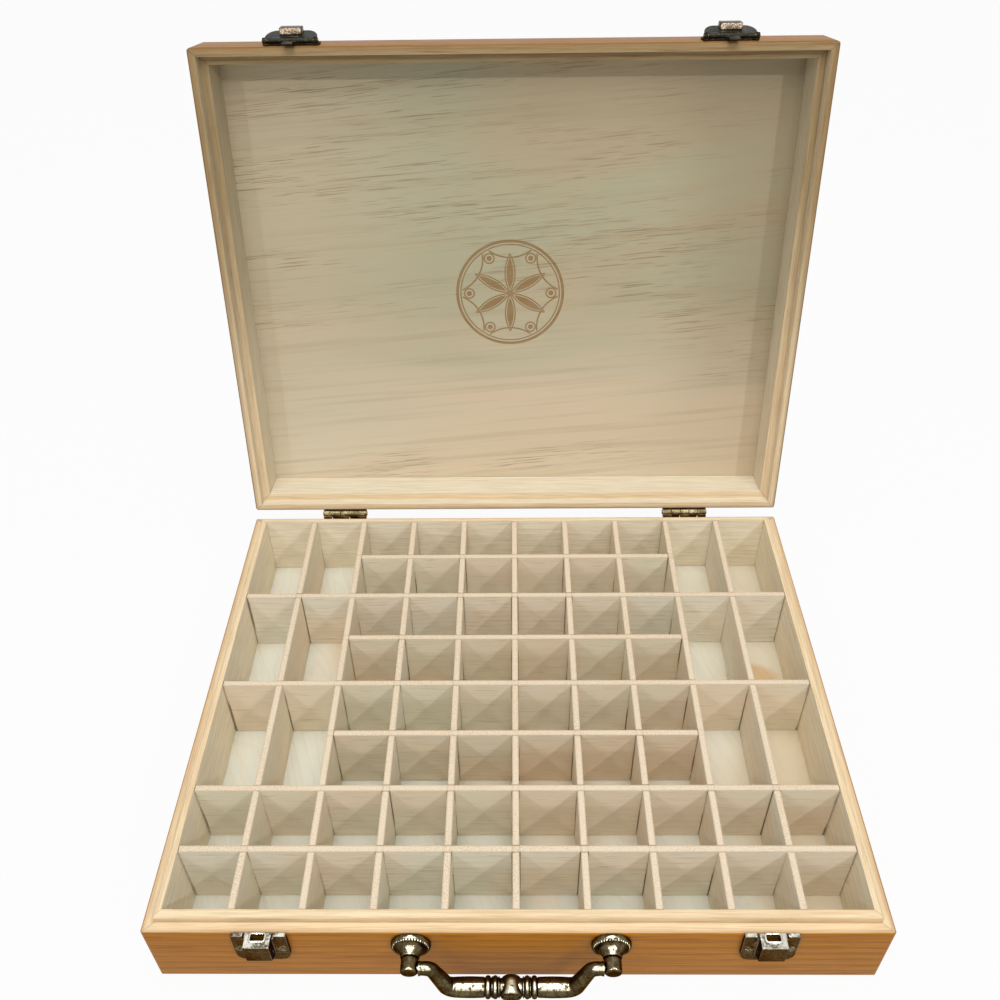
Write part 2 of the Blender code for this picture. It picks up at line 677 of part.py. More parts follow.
def keeper_mesh():
    """Latch keeper, its top edge at z = 0: two ears, a hollow box between them and a window in its top."""
    half = KEEPER_WIDTH / 2
    ears = rounded_rectangle(-half, half, -KEEPER_HEIGHT, 0, KEEPER_CORNER, KEEPER_TOP_CORNER)
    keeper = slab(ears, GAP, KEEPER_EAR_PROUD)
    box_half = KEEPER_BOX_WIDTH / 2
    shell = [(GAP, 0), (KEEPER_BOX_PROUD, 0), (KEEPER_BOX_PROUD, -KEEPER_BOX_FRONT)]
    shell.append((KEEPER_EAR_PROUD, -KEEPER_BOX_HEIGHT))
    shell.append((GAP, -KEEPER_BOX_HEIGHT))
    keeper = fused(keeper, strip(shell, -box_half, box_half))
    inner_half = box_half - KEEPER_SHEET
    inner_out = KEEPER_BOX_PROUD - KEEPER_SHEET
    inner_low = KEEPER_BOX_HEIGHT - KEEPER_SHEET
    hollow = [(-OVERRUN, -KEEPER_SHEET), (inner_out, -KEEPER_SHEET), (inner_out, KEEPER_SHEET / 2 - KEEPER_BOX_FRONT)]
    hollow.append((KEEPER_EAR_PROUD - KEEPER_SHEET / 2, -inner_low))
    hollow.append((-OVERRUN, -inner_low))
    keeper = cut(keeper, strip(hollow, -inner_half, inner_half))
    window = [(WINDOW_NEAR, -2 * KEEPER_SHEET), (WINDOW_FAR, -2 * KEEPER_SHEET)]
    window += [(WINDOW_FAR, OVERRUN), (WINDOW_NEAR, OVERRUN)]
    keeper = cut(keeper, strip(window, -WINDOW_WIDTH / 2, WINDOW_WIDTH / 2))
    for side in (-1, 1):
        notch_near = side * (box_half + GAP)
        notch_far = side * (box_half + GAP + KEEPER_NOTCH_WIDTH)
        notch = [(-OVERRUN, -KEEPER_NOTCH_DEPTH), (KEEPER_BOX_PROUD, -KEEPER_NOTCH_DEPTH)]
        notch += [(KEEPER_BOX_PROUD, OVERRUN), (-OVERRUN, OVERRUN)]
        keeper = cut(keeper, strip(notch, min(notch_near, notch_far), max(notch_near, notch_far)))
        keeper = cut(keeper, countersink(side * KEEPER_SCREW_X, -KEEPER_SCREW_DROP, KEEPER_EAR_PROUD))
    return keeper


def build_keepers():
    top_z = BASE_HEIGHT + KEEPER_ABOVE_RIM
    for name, x in front_hardware_x().items():
        node(f"{name}_keeper", keeper_mesh(), "worn_nickel", at=(x, FRONT_FACE_Y, top_z))
        for number, side in enumerate((-1, 1), start=1):
            place = (x + side * KEEPER_SCREW_X, FRONT_FACE_Y, top_z - KEEPER_SCREW_DROP)
            node(f"{name}_keeper_screw_{number}", screw_mesh(KEEPER_EAR_PROUD), "old_brass", at=place)


def latch_plate_mesh():
    """Plate on the lid's front with a pin lug at each end; the pin's axis is the origin."""
    near = GAP - LATCH_AXIS_PROUD
    far = near + LATCH_PLATE_THICKNESS
    half = LATCH_WIDTH / 2
    outline = rounded_rectangle(
        -half, half, LATCH_PLATE_START, LATCH_PLATE_END, LATCH_PLATE_THICKNESS, LATCH_PLATE_CORNER
    )
    plate = slab(outline, near, far)
    web = [(near, -LUG_RADIUS / 2), (0, -LUG_RADIUS / 2), (far, LATCH_PLATE_START + LUG_RADIUS)]
    web.append((near, LATCH_PLATE_START + LUG_RADIUS))
    for left in (-half, half - LUG_WIDTH):
        right = left + LUG_WIDTH
        plate = fused(plate, strip(web, left, right), cylinder_x(LUG_RADIUS, left, right))
    return cut(plate, cylinder_x(LATCH_BORE_RADIUS, -half - OVERRUN, half + OVERRUN))


def lever_mesh():
    """Latch lever lying flat: barrel on the pin at the origin, flap up, tongue down and leaning out."""
    half = LATCH_WIDTH / 2 - LUG_WIDTH - LEVER_SIDE_GAP
    sheet = LEVER_SHEET / 2
    shoulder, far_half = LEVER_SHOULDER_WIDTH / 2, LEVER_TIP_WIDTH / 2
    shoulder_start = LUG_RADIUS + LEVER_SIDE_GAP
    round_start = shoulder_start + LEVER_SHOULDER_SIDE
    flap = [(half, 0), (half, shoulder_start), (shoulder, shoulder_start)]
    for step in range(LEVER_STEPS + 1):
        angle = math.pi / 2 * step / LEVER_STEPS
        x = far_half + (shoulder - far_half) * math.cos(angle)
        flap.append((x, round_start + (LEVER_LENGTH - round_start) * math.sin(angle)))
    flap += [(-x, up) for x, up in reversed(flap)]
    lever = fused(slab(flap, -sheet, sheet), cylinder_x(BARREL_RADIUS, -half, half))

    thumb = [(0, THUMB_NEAR), (THUMB_NEAR_HEIGHT, THUMB_NEAR), (THUMB_FAR_HEIGHT, THUMB_FAR), (0, THUMB_FAR)]
    block = bevelled(strip(thumb, -THUMB_WIDTH / 2, THUMB_WIDTH / 2), THUMB_BEVEL)
    lever = fused(lever, block)

    root, tip = TONGUE_ROOT_WIDTH / 2, TONGUE_TIP_WIDTH / 2
    outline = [(-root, 0), (root, 0), (tip, -TONGUE_TAPER), (tip, -TONGUE_LENGTH)]
    outline += [(-tip, -TONGUE_LENGTH), (-tip, -TONGUE_TAPER)]
    middle = -TONGUE_SETBACK
    out = middle + TONGUE_THICKNESS / 2
    tongue = slab(outline, middle - TONGUE_THICKNESS / 2, out)
    barb = [(middle, BARB_LENGTH - TONGUE_LENGTH), (out + BARB_DEPTH, BARB_LENGTH - TONGUE_LENGTH)]
    barb += [(out, GAP - TONGUE_LENGTH), (middle, GAP - TONGUE_LENGTH)]
    tongue = fused(tongue, strip(barb, GAP - tip, tip - GAP))
    lever = fused(lever, turned_about_x(tongue, -LEVER_LIFT))
    return cut(lever, cylinder_x(LATCH_BORE_RADIUS, -half - OVERRUN, half + OVERRUN))


def build_latches(lid):
    axis_y = FRONT_FACE_Y - LATCH_AXIS_PROUD
    axis_z = LID_RIM_Z + LATCH_AXIS_ABOVE_RIM
    for name, x in front_hardware_x().items():
        axis = (x, axis_y, axis_z)
        node(f"{name}_latch_plate", latch_plate_mesh(), "dark_bronze", at=axis, carrier=lid)
        pin_half = LATCH_WIDTH / 2 + LATCH_PIN_PROUD
        pin = cylinder_x(LATCH_PIN_RADIUS, -pin_half, pin_half, sides=SCREW_SIDES)
        node(f"{name}_latch_pin", pin, "old_brass", at=axis, carrier=lid)
        lever_axis = axis_empty(f"{name}_lever_axis", axis, LEVER_LIFT, carrier=lid)
        node(f"{name}_latch_lever", lever_mesh(), "dark_bronze", at=axis, carrier=lever_axis)


def post_mesh(inner_side):
    """Handle post on the face y = 0 about its own centre; the bail enters it from the inner side."""
    flare = ROSETTE_RADIUS - POST_NECK_RADIUS
    flare_depth = FLARE_END - ROSETTE_THICKNESS
    profile = [(ROSETTE_RADIUS - POST_END_ROUND, GAP), (ROSETTE_RADIUS, ROSETTE_THICKNESS / 2)]
    for depth_share, radius_share in FLARE_SHARES:
        radius = POST_NECK_RADIUS + flare * radius_share
        profile.append((radius, ROSETTE_THICKNESS + flare_depth * depth_share))
    profile.append((POST_RADIUS - POST_GROOVE_DEPTH, FLARE_END + POST_GROOVE_WIDTH / 2))
    profile.append((POST_RADIUS, FLARE_END + POST_GROOVE_WIDTH))
    dome = arc((POST_RADIUS - POST_END_ROUND, POST_PROUD - POST_END_ROUND), POST_END_ROUND, 0, 90)
    profile += dome
    post = turned(profile, POST_SIDES)
    thread = turned([(BOLT_HOLE_RADIUS, -OVERRUN), (BOLT_HOLE_RADIUS, BOLT_INTO_POST + GAP)], SCREW_SIDES)
    reach = sorted((inner_side * (POST_RADIUS - PIVOT_DEPTH - GAP), inner_side * (POST_RADIUS + OVERRUN)))
    pivot = cylinder_x(PIVOT_HOLE_RADIUS, reach[0], reach[1], sides=SCREW_SIDES, at=(PIVOT_PROUD, 0))
    return cut(post, thread, pivot)


def bolt_mesh():
    """Machine screw of a post; the front board's inner face lies WALL in from the outer face y = 0."""
    head_start = -WALL - GAP
    profile = [
        (BOLT_HEAD_RADIUS - BOLT_HEAD_HEIGHT / 2, head_start - BOLT_HEAD_HEIGHT),
        (BOLT_HEAD_RADIUS, head_start - BOLT_HEAD_HEIGHT / 2),
        (BOLT_HEAD_RADIUS, head_start),
        (BOLT_RADIUS, head_start),
        (BOLT_RADIUS, BOLT_INTO_POST),
    ]
    return turned(profile, SCREW_SIDES)


def bail_stations():
    """Centre (x, z) and radius along the bail from its middle to its right end, pivot axis at z = 0."""
    stations = [(0, CENTRE_RADIUS), (CENTRE_HALF, CENTRE_RADIUS)]
    for ring in range(RINGS):
        start = RINGS_START + ring * RING_PITCH
        middle = start + RING_WIDTH / 2
        stations += [(start, GROOVE_RADIUS), (start + RING_WIDTH / 4, RING_RADIUS - (RING_RADIUS - BAR_RADIUS) / 3)]
        stations += [(middle, RING_RADIUS), (start + RING_WIDTH * 3 / 4, RING_RADIUS - (RING_RADIUS - BAR_RADIUS) / 3)]
        stations.append((start + RING_WIDTH, GROOVE_RADIUS))
    stations.append((RINGS_START + RINGS * RING_PITCH, BAR_RADIUS))
    path = [(x, -BAR_DROP, radius) for x, radius in stations]
    for step in range(BEND_STEPS + 1):
        angle = ARM_SLOPE * step / BEND_STEPS
        rise = LOWER_BEND * (1 - math.cos(angle))
        path.append((ARM_START_X + LOWER_BEND * math.sin(angle), rise - BAR_DROP, BAR_RADIUS))
    bends_height = (LOWER_BEND + UPPER_BEND) * (1 - math.cos(ARM_SLOPE))
    straight = (BAR_DROP - bends_height) / math.tan(ARM_SLOPE)
    arm_end_x = ARM_START_X + (LOWER_BEND + UPPER_BEND) * math.sin(ARM_SLOPE) + straight
    for step in range(BEND_STEPS, -1, -1):
        angle = ARM_SLOPE * step / BEND_STEPS
        fall = UPPER_BEND * (1 - math.cos(angle))
        path.append((arm_end_x - UPPER_BEND * math.sin(angle), -fall, ARM_RADIUS))
    shoulder = HANDLE_SPACING / 2 - POST_RADIUS - GAP
    path += [(shoulder, 0, ARM_RADIUS), (shoulder, 0, PIVOT_RADIUS)]
    path.append((shoulder + GAP + PIVOT_DEPTH, 0, PIVOT_RADIUS))
    return path


def bail_mesh():
    """The bail hanging straight down from the pivot axis at the origin."""
    right = bail_stations()
    left = [(-x, z, radius) for x, z, radius in reversed(right[1:])]
    path = left + right
    rings = []
    for index, (x, z, radius) in enumerate(path):
        before = path[max(0, index - 1)]
        after = path[min(len(path) - 1, index + 1)]
        along = Vector((after[0] - before[0], 0, after[1] - before[1])).normalized()
        across = Vector((-along.z, 0, along.x))
        ring = []
        for side in range(BAIL_SIDES):
            angle = 2 * math.pi * side / BAIL_SIDES
            offset = across * (radius * math.cos(angle)) + Vector((0, radius * math.sin(angle), 0))
            ring.append(tuple(Vector((x, 0, z)) + offset))
        rings.append(ring)
    profile = [(BOSS_RADIUS - BOSS_ROUND, 0), (BOSS_RADIUS, BOSS_REACH - BOSS_ROUND)]
    profile.append((BOSS_RADIUS - BOSS_ROUND, BOSS_REACH))
    boss = moved(turned(profile, POST_SIDES), (0, 0, -BAR_DROP))
    return fused(lofted(rings), boss)


def build_handle():
    for name, x in handle_post_x().items():
        inner_side = 1 if name == "left" else -1
        place = (x, FRONT_FACE_Y, HANDLE_AXIS.z)
        node(f"{name}_handle_post", post_mesh(inner_side), "old_brass", at=place)
        node(f"{name}_handle_bolt", bolt_mesh(), "worn_nickel", at=place)
    bail_axis = axis_empty("handle_axis", HANDLE_AXIS, 0)
    node("handle_bail", bail_mesh(), "old_brass", at=HANDLE_AXIS, carrier=bail_axis)


def build():
    clear_scene()
    build_base_boards()
    build_bottom_panel()
    build_dividers()
    lid = axis_empty("lid_axis", HINGE_AXIS, -LID_OPENING)
    build_lid_boards(lid)
    build_lid_panel(lid)
    build_hinges(lid)
    build_keepers()
    build_latches(lid)
    build_handle()


build()
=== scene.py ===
"""The looks of a pine storage box for small oil bottles, open on a pale table.

The sections follow the object as it is put together: the view and the light, the base's boards and floor,
its dividers, the lid's boards and panel, the hinges, the keepers, the latches and the handle. Lengths are
in metres, but for the profiles of turned pieces, which are tables in millimetres.
"""

import json
import math

import bmesh
import bpy
import numpy as np
from mathutils import Matrix, Vector


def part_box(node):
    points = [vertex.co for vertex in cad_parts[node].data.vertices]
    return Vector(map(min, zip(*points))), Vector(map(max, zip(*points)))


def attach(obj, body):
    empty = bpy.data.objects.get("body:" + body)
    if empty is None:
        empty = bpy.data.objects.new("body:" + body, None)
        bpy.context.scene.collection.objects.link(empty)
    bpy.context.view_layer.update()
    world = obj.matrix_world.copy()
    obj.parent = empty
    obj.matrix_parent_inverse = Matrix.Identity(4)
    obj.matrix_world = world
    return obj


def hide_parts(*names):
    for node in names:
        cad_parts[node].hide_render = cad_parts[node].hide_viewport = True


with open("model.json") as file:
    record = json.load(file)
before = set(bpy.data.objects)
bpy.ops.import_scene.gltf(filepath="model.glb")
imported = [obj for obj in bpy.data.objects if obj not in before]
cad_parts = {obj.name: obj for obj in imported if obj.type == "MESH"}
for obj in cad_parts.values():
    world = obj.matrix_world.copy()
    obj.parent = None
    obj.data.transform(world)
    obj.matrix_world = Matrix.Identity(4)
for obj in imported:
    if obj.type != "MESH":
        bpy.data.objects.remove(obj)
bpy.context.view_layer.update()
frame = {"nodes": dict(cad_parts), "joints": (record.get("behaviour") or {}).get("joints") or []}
nodes = frame["nodes"]

# ---- View --------------------------------------------------------------------------------
# Someone about to pick a bottle looks down into the box from a little above the open lid's edge,
# standing in front of its middle.
VIEW_PLACE = (0.00005, -0.37487, 0.51433)
VIEW_FORWARD = Vector((-0.01418, 0.75542, -0.65509)).normalized()
VIEW_RIGHT = Vector((0.99989, 0.00745, -0.01306))
LENS_MM = 36.35
SENSOR_MM = 36

view_right = (VIEW_RIGHT - VIEW_FORWARD * VIEW_RIGHT.dot(VIEW_FORWARD)).normalized()
view_up = view_right.cross(VIEW_FORWARD)
camera = bpy.data.objects.new("camera", bpy.data.cameras.new("camera"))
camera.data.lens = LENS_MM
camera.data.sensor_width = SENSOR_MM
camera.data.clip_start = 0.01
turn = Matrix((view_right, view_up, -VIEW_FORWARD)).transposed().to_4x4()
camera.matrix_world = Matrix.Translation(VIEW_PLACE) @ turn
bpy.context.scene.collection.objects.link(camera)
bpy.context.scene.camera = camera
bpy.context.scene.view_settings.view_transform = "Standard"

# ---- Table and light ---------------------------------------------------------------------
# A plain pale table under a broad ceiling lamp, with a softer one in front of it. Two small lamps, the
# right one stronger, draw the slanting shadows in the compartments, and two low ones in front of the
# box reach into the lid.
TABLE_HALF = 12.0
TABLE_DROP = 0.0004
TABLE_WHITENESS = 0.95
TABLE_GREY = (0.54, 0.54, 0.53)
TABLE_PALE = (0.58, 0.58, 0.57)
ROOM_LIGHT = 0.38
LAMP_AIM = Vector((0, 0.03, 0.06))
# Direction in which each lamp stands, its distance, its diameter and its strength
LAMPS = {
    "ceiling_middle": ((0.0, -0.08, 1.0), 1.6, 1.10, 0.51),
    "ceiling_front": ((0.0, -0.60, 1.0), 1.8, 0.60, 0.19),
    "ceiling_right": ((0.76, -0.90, 1.0), 1.9, 0.045, 0.160),
    "ceiling_left": ((-0.76, -0.90, 1.0), 1.9, 0.045, 0.085),
    "front_right": ((0.353, -1.0, 0.42), 1.2, 0.10, 0.048),
    "front_left": ((-0.353, -1.0, 0.42), 1.2, 0.10, 0.048),
}

table_mesh = bpy.data.meshes.new("table")
corners = [(-1, -1), (1, -1), (1, 1), (-1, 1)]
table_points = [(x * TABLE_HALF, y * TABLE_HALF, -TABLE_DROP) for x, y in corners]
table_mesh.from_pydata(table_points, [], [(0, 1, 2, 3)])
table = bpy.data.objects.new("table", table_mesh)
bpy.context.scene.collection.objects.link(table)

for name, (direction, distance, diameter, strength) in LAMPS.items():
    lamp = bpy.data.lights.new(name, "AREA")
    lamp.shape = "DISK"
    lamp.size = diameter
    lamp.energy = strength * (math.pi * distance) ** 2
    holder = bpy.data.objects.new(name, lamp)
    towards = Vector(direction).normalized()
    holder.location = towards * distance + LAMP_AIM
    holder.rotation_euler = towards.to_track_quat("Z", "Y").to_euler()
    bpy.context.scene.collection.objects.link(holder)


class Wire:
    """An output of a material's node; arithmetic between wires and numbers adds Math nodes."""

    def __init__(self, finish, socket):
        self.finish, self.socket = finish, socket

    def output(self, name):
        return Wire(self.finish, self.socket.node.outputs[name])

    def math(self, operation, *others):
        return self.finish.math(operation, self, *others)

    def __add__(self, other):
        return self.math("ADD", other)

    def __sub__(self, other):
        return self.math("SUBTRACT", other)

    def __rsub__(self, other):
        return self.finish.math("SUBTRACT", other, self)

    def __mul__(self, other):
        return self.math("MULTIPLY", other)

    def __truediv__(self, other):
        return self.math("DIVIDE", other)

    __radd__ = __add__
    __rmul__ = __mul__


class Finish:
    """A material: `add` puts a node in and sets it up, `surface` is its Principled shader."""

    def __init__(self, name, metallic=0.0, roughness=0.5, **constants):
        self.material = bpy.data.materials.new(name)
        self.material.use_nodes = True
        self.tree = self.material.node_tree
        self.surface = self.tree.nodes["Principled BSDF"]
        self.set(Metallic=metallic, Roughness=roughness, **constants)
        self.place = self.add("ShaderNodeTexCoord").output("Object")

    def feed(self, socket, value):
        """Joins a wire to a socket, or sets the socket to a number, a vector or a colour."""
        if isinstance(value, Wire):
            self.tree.links.new(value.socket, socket)
        else:
            socket.default_value = (*value, 1) if socket.type == "RGBA" else value

    def add(self, kind, settings=None, sockets=None):
        """Adds a node; settings come first, then the values or wires of its sockets by name or number."""
        node = self.tree.nodes.new(kind)
        for name, value in (settings or {}).items():
            setattr(node, name, value)
        in_use = [socket for socket in node.inputs if socket.enabled]
        for key, value in (sockets or {}).items():
            socket = in_use[key] if isinstance(key, int) else next(s for s in in_use if s.name == key)
            self.feed(socket, value)
        return Wire(self, next(socket for socket in node.outputs if socket.enabled))

    def math(self, operation, *numbers, clamp=False):
        """One step of arithmetic on wires and numbers."""
        settings = {"operation": operation, "use_clamp": clamp}
        return self.add("ShaderNodeMath", settings, dict(enumerate(numbers)))

    def parts(self, where):
        """The X, Y and Z of a place."""
        split = self.add("ShaderNodeSeparateXYZ", None, {"Vector": where})
        return [split.output(axis) for axis in "XYZ"]

    def noise(self, where, scale=1.0, detail=2.0, roughness=0.5, distortion=0.0):
        """A cloudy value round 0.5; detail adds finer clouds, distortion folds them."""
        sockets = {"Vector": where, "Scale": scale, "Detail": detail}
        sockets.update({"Roughness": roughness, "Distortion": distortion})
        return self.add("ShaderNodeTexNoise", None, sockets)

    def placed(self, where, turn=(0, 0, 0), shift=(0, 0, 0), stretch=(1, 1, 1)):
        """A place stretched along its axes, then turned about them, then shifted."""
        sockets = {"Vector": where, "Location": shift, "Rotation": turn, "Scale": stretch}
        return self.add("ShaderNodeMapping", None, sockets)

    def grain(self, where, stretch, shift=(0, 0, 0), **settings):
        """Noise drawn out along the axes of a place."""
        return self.noise(self.placed(where, stretch=stretch, shift=shift), **settings)

    def fade(self, value, start, end, low=0.0, high=1.0):
        """Runs smoothly from low to high as value goes from start to end."""
        numbers = {"Value": value, "From Min": start, "From Max": end, "To Min": low, "To Max": high}
        return self.add("ShaderNodeMapRange", {"interpolation_type": "SMOOTHSTEP"}, numbers)

    def mix(self, share, first, second, blend="MIX"):
        """The first colour with that share of the second over it."""
        settings = {"data_type": "RGBA", "blend_type": blend}
        return self.add("ShaderNodeMix", settings, {"Factor": share, "A": first, "B": second})

    def set(self, **values):
        """Sets or wires the sockets of the surface."""
        for socket, value in values.items():
            self.feed(self.surface.inputs[socket.replace("_", " ")], value)

    def relief(self, height, depth):
        """Turns a height between 0 and 1 into a bump of that depth."""
        sockets = {"Height": height, "Distance": depth, "Strength": 1.0}
        self.set(Normal=self.add("ShaderNodeBump", None, sockets))


def show_white(finish, shader, share):
    """Adds plain white for rays from the camera, and for those mirrored by metal, over a shader."""
    path = finish.add("ShaderNodeLightPath")
    seen = path.output("Is Camera Ray") + path.output("Is Glossy Ray") + path.output("Is Transmission Ray")
    white = finish.add("ShaderNodeEmission", None, {"Color": (1, 1, 1), "Strength": 1.0})
    sockets = {0: finish.math("MULTIPLY", seen, share, clamp=True), 1: shader, 2: white}
    return finish.add("ShaderNodeMixShader", None, sockets)


table_top = Finish("table_top", roughness=0.8)
cloud = table_top.noise(table_top.place, scale=3.0, detail=3.0)
table_top.set(Base_Color=table_top.mix(cloud, TABLE_GREY, TABLE_PALE))
bright_top = show_white(table_top, Wire(table_top, table_top.surface.outputs[0]), TABLE_WHITENESS)
table_top.tree.links.new(bright_top.socket, table_top.tree.nodes["Material Output"].inputs["Surface"])
table_mesh.materials.append(table_top.material)

room = bpy.data.worlds.new("room")
room.use_nodes = True
bpy.context.scene.world = room
room_nodes, join = room.node_tree.nodes, room.node_tree.links.new
backdrop = room_nodes["Background"]
path = room_nodes.new("ShaderNodeLightPath")
seen = room_nodes.new("ShaderNodeMath")
also = room_nodes.new("ShaderNodeMath")
seen.operation = also.operation = "MAXIMUM"
level = room_nodes.new("ShaderNodeMapRange")
level.inputs["To Min"].default_value = ROOM_LIGHT
level.inputs["To Max"].default_value = 1.0
join(path.outputs["Is Camera Ray"], seen.inputs[0])
join(path.outputs["Is Glossy Ray"], seen.inputs[1])
join(seen.outputs[0], also.inputs[0])
join(path.outputs["Is Transmission Ray"], also.inputs[1])
join(also.outputs[0], level.inputs["Value"])
join(level.outputs[0], backdrop.inputs["Strength"])
backdrop.inputs["Color"].default_value = (1, 1, 1, 1)

# ---- Base boards -------------------------------------------------------------------------
# Four planed pine boards, mitred at the corners, with a rounded foot and a lip that the lid closes
# over. Clear lacquer has turned the outside amber; the rim and the inside are nearly bare wood.
WALL = 0.0095
BASE_BAND = 0.0057
LIP_SHOULDER = 0.0020
RIM_ROUND = 0.0012
FOOT_ROUND = 0.0030
CORNER_RADIUS = 0.0022
MITRE_GAP = 0.00012
FLOOR_LAP = 0.0045
FLOOR_GAP = 0.00025
FLOOR_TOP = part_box("base_bottom_panel")[1].z
LIP_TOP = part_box("base_front_board")[1].z
BASE_RIM = 0.045
LID_RIM = 0.0453
BOX_HALF_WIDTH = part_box("base_right_board")[1].x
BOX_HALF_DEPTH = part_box("base_back_board")[1].y
SIDES = {"front": (0, -1, 0), "back": (0, 1, 0), "left": (-1, 0, 0), "right": (1, 0, 0)}

RING_PITCH = 0.0047
RING_WAVER = 0.006
RING_SHARPNESS = 0.55
PITH_SHARE = 0.62
PITH_HEIGHT = -0.045
PITH_STEP = 0.012
LOG_STEP = 0.731
# Where the painted shade on the lid begins and where it is full, along the closed lid's depth
LID_SHADE_START = 0.135
LID_SHADE_END = -0.125
PINE_PALE = (0.82, 0.66, 0.43)
PINE_HONEY = (0.74, 0.50, 0.27)
PINE_DARK = (0.66, 0.43, 0.21)
PINE_SHADE = (0.56, 0.38, 0.19)
# Painted shade on the lid's pine
PINE_PAINTED_SHADE = (0.42, 0.385, 0.31)
PINE_STREAK = (0.24, 0.12, 0.045)
PINE_FIBRE = (0.36, 0.20, 0.08)
AMBER_PALE = (0.450, 0.178, 0.012)
AMBER_CLOUD = (0.365, 0.130, 0.008)
AMBER_DARK = (0.270, 0.092, 0.006)
# Browning of the lid's amber by handling, and its painted shade
AMBER_HANDLED_AND_SHADED = (0.165, 0.098, 0.036)
BARE_PINE = (0.93, 0.85, 0.67)
BARE_DARK = (0.82, 0.66, 0.45)
# Painted shade on the lid's bare inside
BARE_PAINTED_SHADE = (0.50, 0.47, 0.40)

hinge = next(joint for joint in frame["joints"] if joint["name"] == "lid_hinge")
HINGE_AXIS = hinge["pos_m"]
LID_OPENING = hinge["range_deg"][1]


def arc(centre, radius, start, end, steps=6):
    """Points on a circle, angle running evenly from start to end in degrees: centre + radius (cos, sin)."""
    angle = np.radians(np.linspace(start, end, steps + 1))
    return np.stack([centre[0] + radius * np.cos(angle), centre[1] + radius * np.sin(angle)], axis=1)


def skin(grid, smooth=35.0, ends=True):
    """A closed body from a grid of points [station, place round the section]: each section is joined to
    the next by a row of faces, and the first and last sections are closed by a face each."""
    stations, around, _ = grid.shape
    here = np.arange(stations - 1)[:, None] * around + np.arange(around)[None, :]
    beside = np.arange(stations - 1)[:, None] * around + (np.arange(around)[None, :] + 1) % around
    quads = np.stack([here, here + around, beside + around, beside], axis=-1).reshape(-1, 4)
    faces = quads.tolist()
    if ends:
        last = (stations - 1) * around
        faces += [list(range(around)), list(range(last + around - 1, last - 1, -1))]
    mesh = bpy.data.meshes.new("skin")
    mesh.from_pydata(grid.reshape(-1, 3).tolist(), [], faces)
    mesh.validate()
    from_centre = np.array([face.center for face in mesh.polygons]) - grid.reshape(-1, 3).mean(axis=0)
    normals = np.array([face.normal for face in mesh.polygons])
    areas = np.array([face.area for face in mesh.polygons])
    if (np.einsum("ij,ij->i", from_centre, normals) * areas).sum() < 0:
        mesh.flip_normals()
    mesh.shade_smooth()
    mesh.set_sharp_from_angle(angle=math.radians(smooth))
    return mesh


def piece(name, mesh, finish, body, slot, *stands_for):
    """Shows a mesh as a named piece that moves with a body and stands for the solids of the frame."""
    thing = bpy.data.objects.new(name, mesh)
    mesh.name = name
    bpy.context.scene.collection.objects.link(thing)
    mesh.materials.append(finish.material)
    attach(thing, body)
    if stands_for:
        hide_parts(*stands_for)
    return thing


def board_grid(profile, half_length):
    """A board along X: the section (depth, height) is carried along it, and at each end it is cut back by
    its depth, which makes the mitre; depths near the corner are held on a quarter circle."""
    angle = np.radians(np.linspace(45, 90, 6))
    along, inward = CORNER_RADIUS * (1 - np.cos(angle)), CORNER_RADIUS * (1 - np.sin(angle))
    kept = np.maximum(profile[None, :, 0], inward[:, None])
    back = np.maximum(along[:, None], kept) + MITRE_GAP
    height = np.broadcast_to(profile[None, :, 1], kept.shape)
    left = np.stack([back - half_length, kept, height], axis=-1)
    right = np.stack([half_length - back, kept, height], axis=-1)[::-1]
    return np.concatenate([left, right])


def on_side(grid, side):
    """Turns a board made for the front, with its depth counted from zero, to its own side of the box."""
    x, y, z = grid[..., 0], grid[..., 1], grid[..., 2]
    if side == "front":
        return np.stack([x, y - BOX_HALF_DEPTH, z], axis=-1)
    if side == "back":
        return np.stack([-x, BOX_HALF_DEPTH - y, z], axis=-1)
    if side == "left":
        return np.stack([y - BOX_HALF_WIDTH, -x, z], axis=-1)
    return np.stack([BOX_HALF_WIDTH - y, x, z], axis=-1)


def opened(points):
    """Turns points of the closed lid about the hinge axis to where the lid stands open."""
    turn = Matrix.Rotation(-math.radians(LID_OPENING), 3, "X")
    axis = np.array(HINGE_AXIS)
    return (points - axis) @ np.array(turn).T + axis


def opened_way(direction):
    """Turns a direction of the closed lid to the one it has with the lid open."""
    return tuple(opened(np.array(direction) + HINGE_AXIS) - HINGE_AXIS)


def board_frame(finish, along_y=False, lid=False, shift=(0, 0, 0)):
    """The wood's own axes: X along the board and Z up with the lid closed, moved along the log."""
    spin = Matrix.Rotation(-math.pi / 2, 3, "Z") if along_y else Matrix.Identity(3)
    if lid:
        axis = Vector(HINGE_AXIS)
        unfold = Matrix.Rotation(math.radians(LID_OPENING), 3, "X")
        place = spin @ (axis - unfold @ axis)
        spin = spin @ unfold
    else:
        place = Vector((0, 0, 0))
    return finish.placed(finish.place, turn=spin.to_euler(), shift=place + Vector(shift))


def facing(finish, direction):
    """How far a surface faces a direction of the part at rest, from -1 to 1."""
    sockets = {0: finish.place.output("Normal"), 1: direction}
    return finish.add("ShaderNodeVectorMath", {"operation": "DOT_PRODUCT"}, sockets).output("Value")


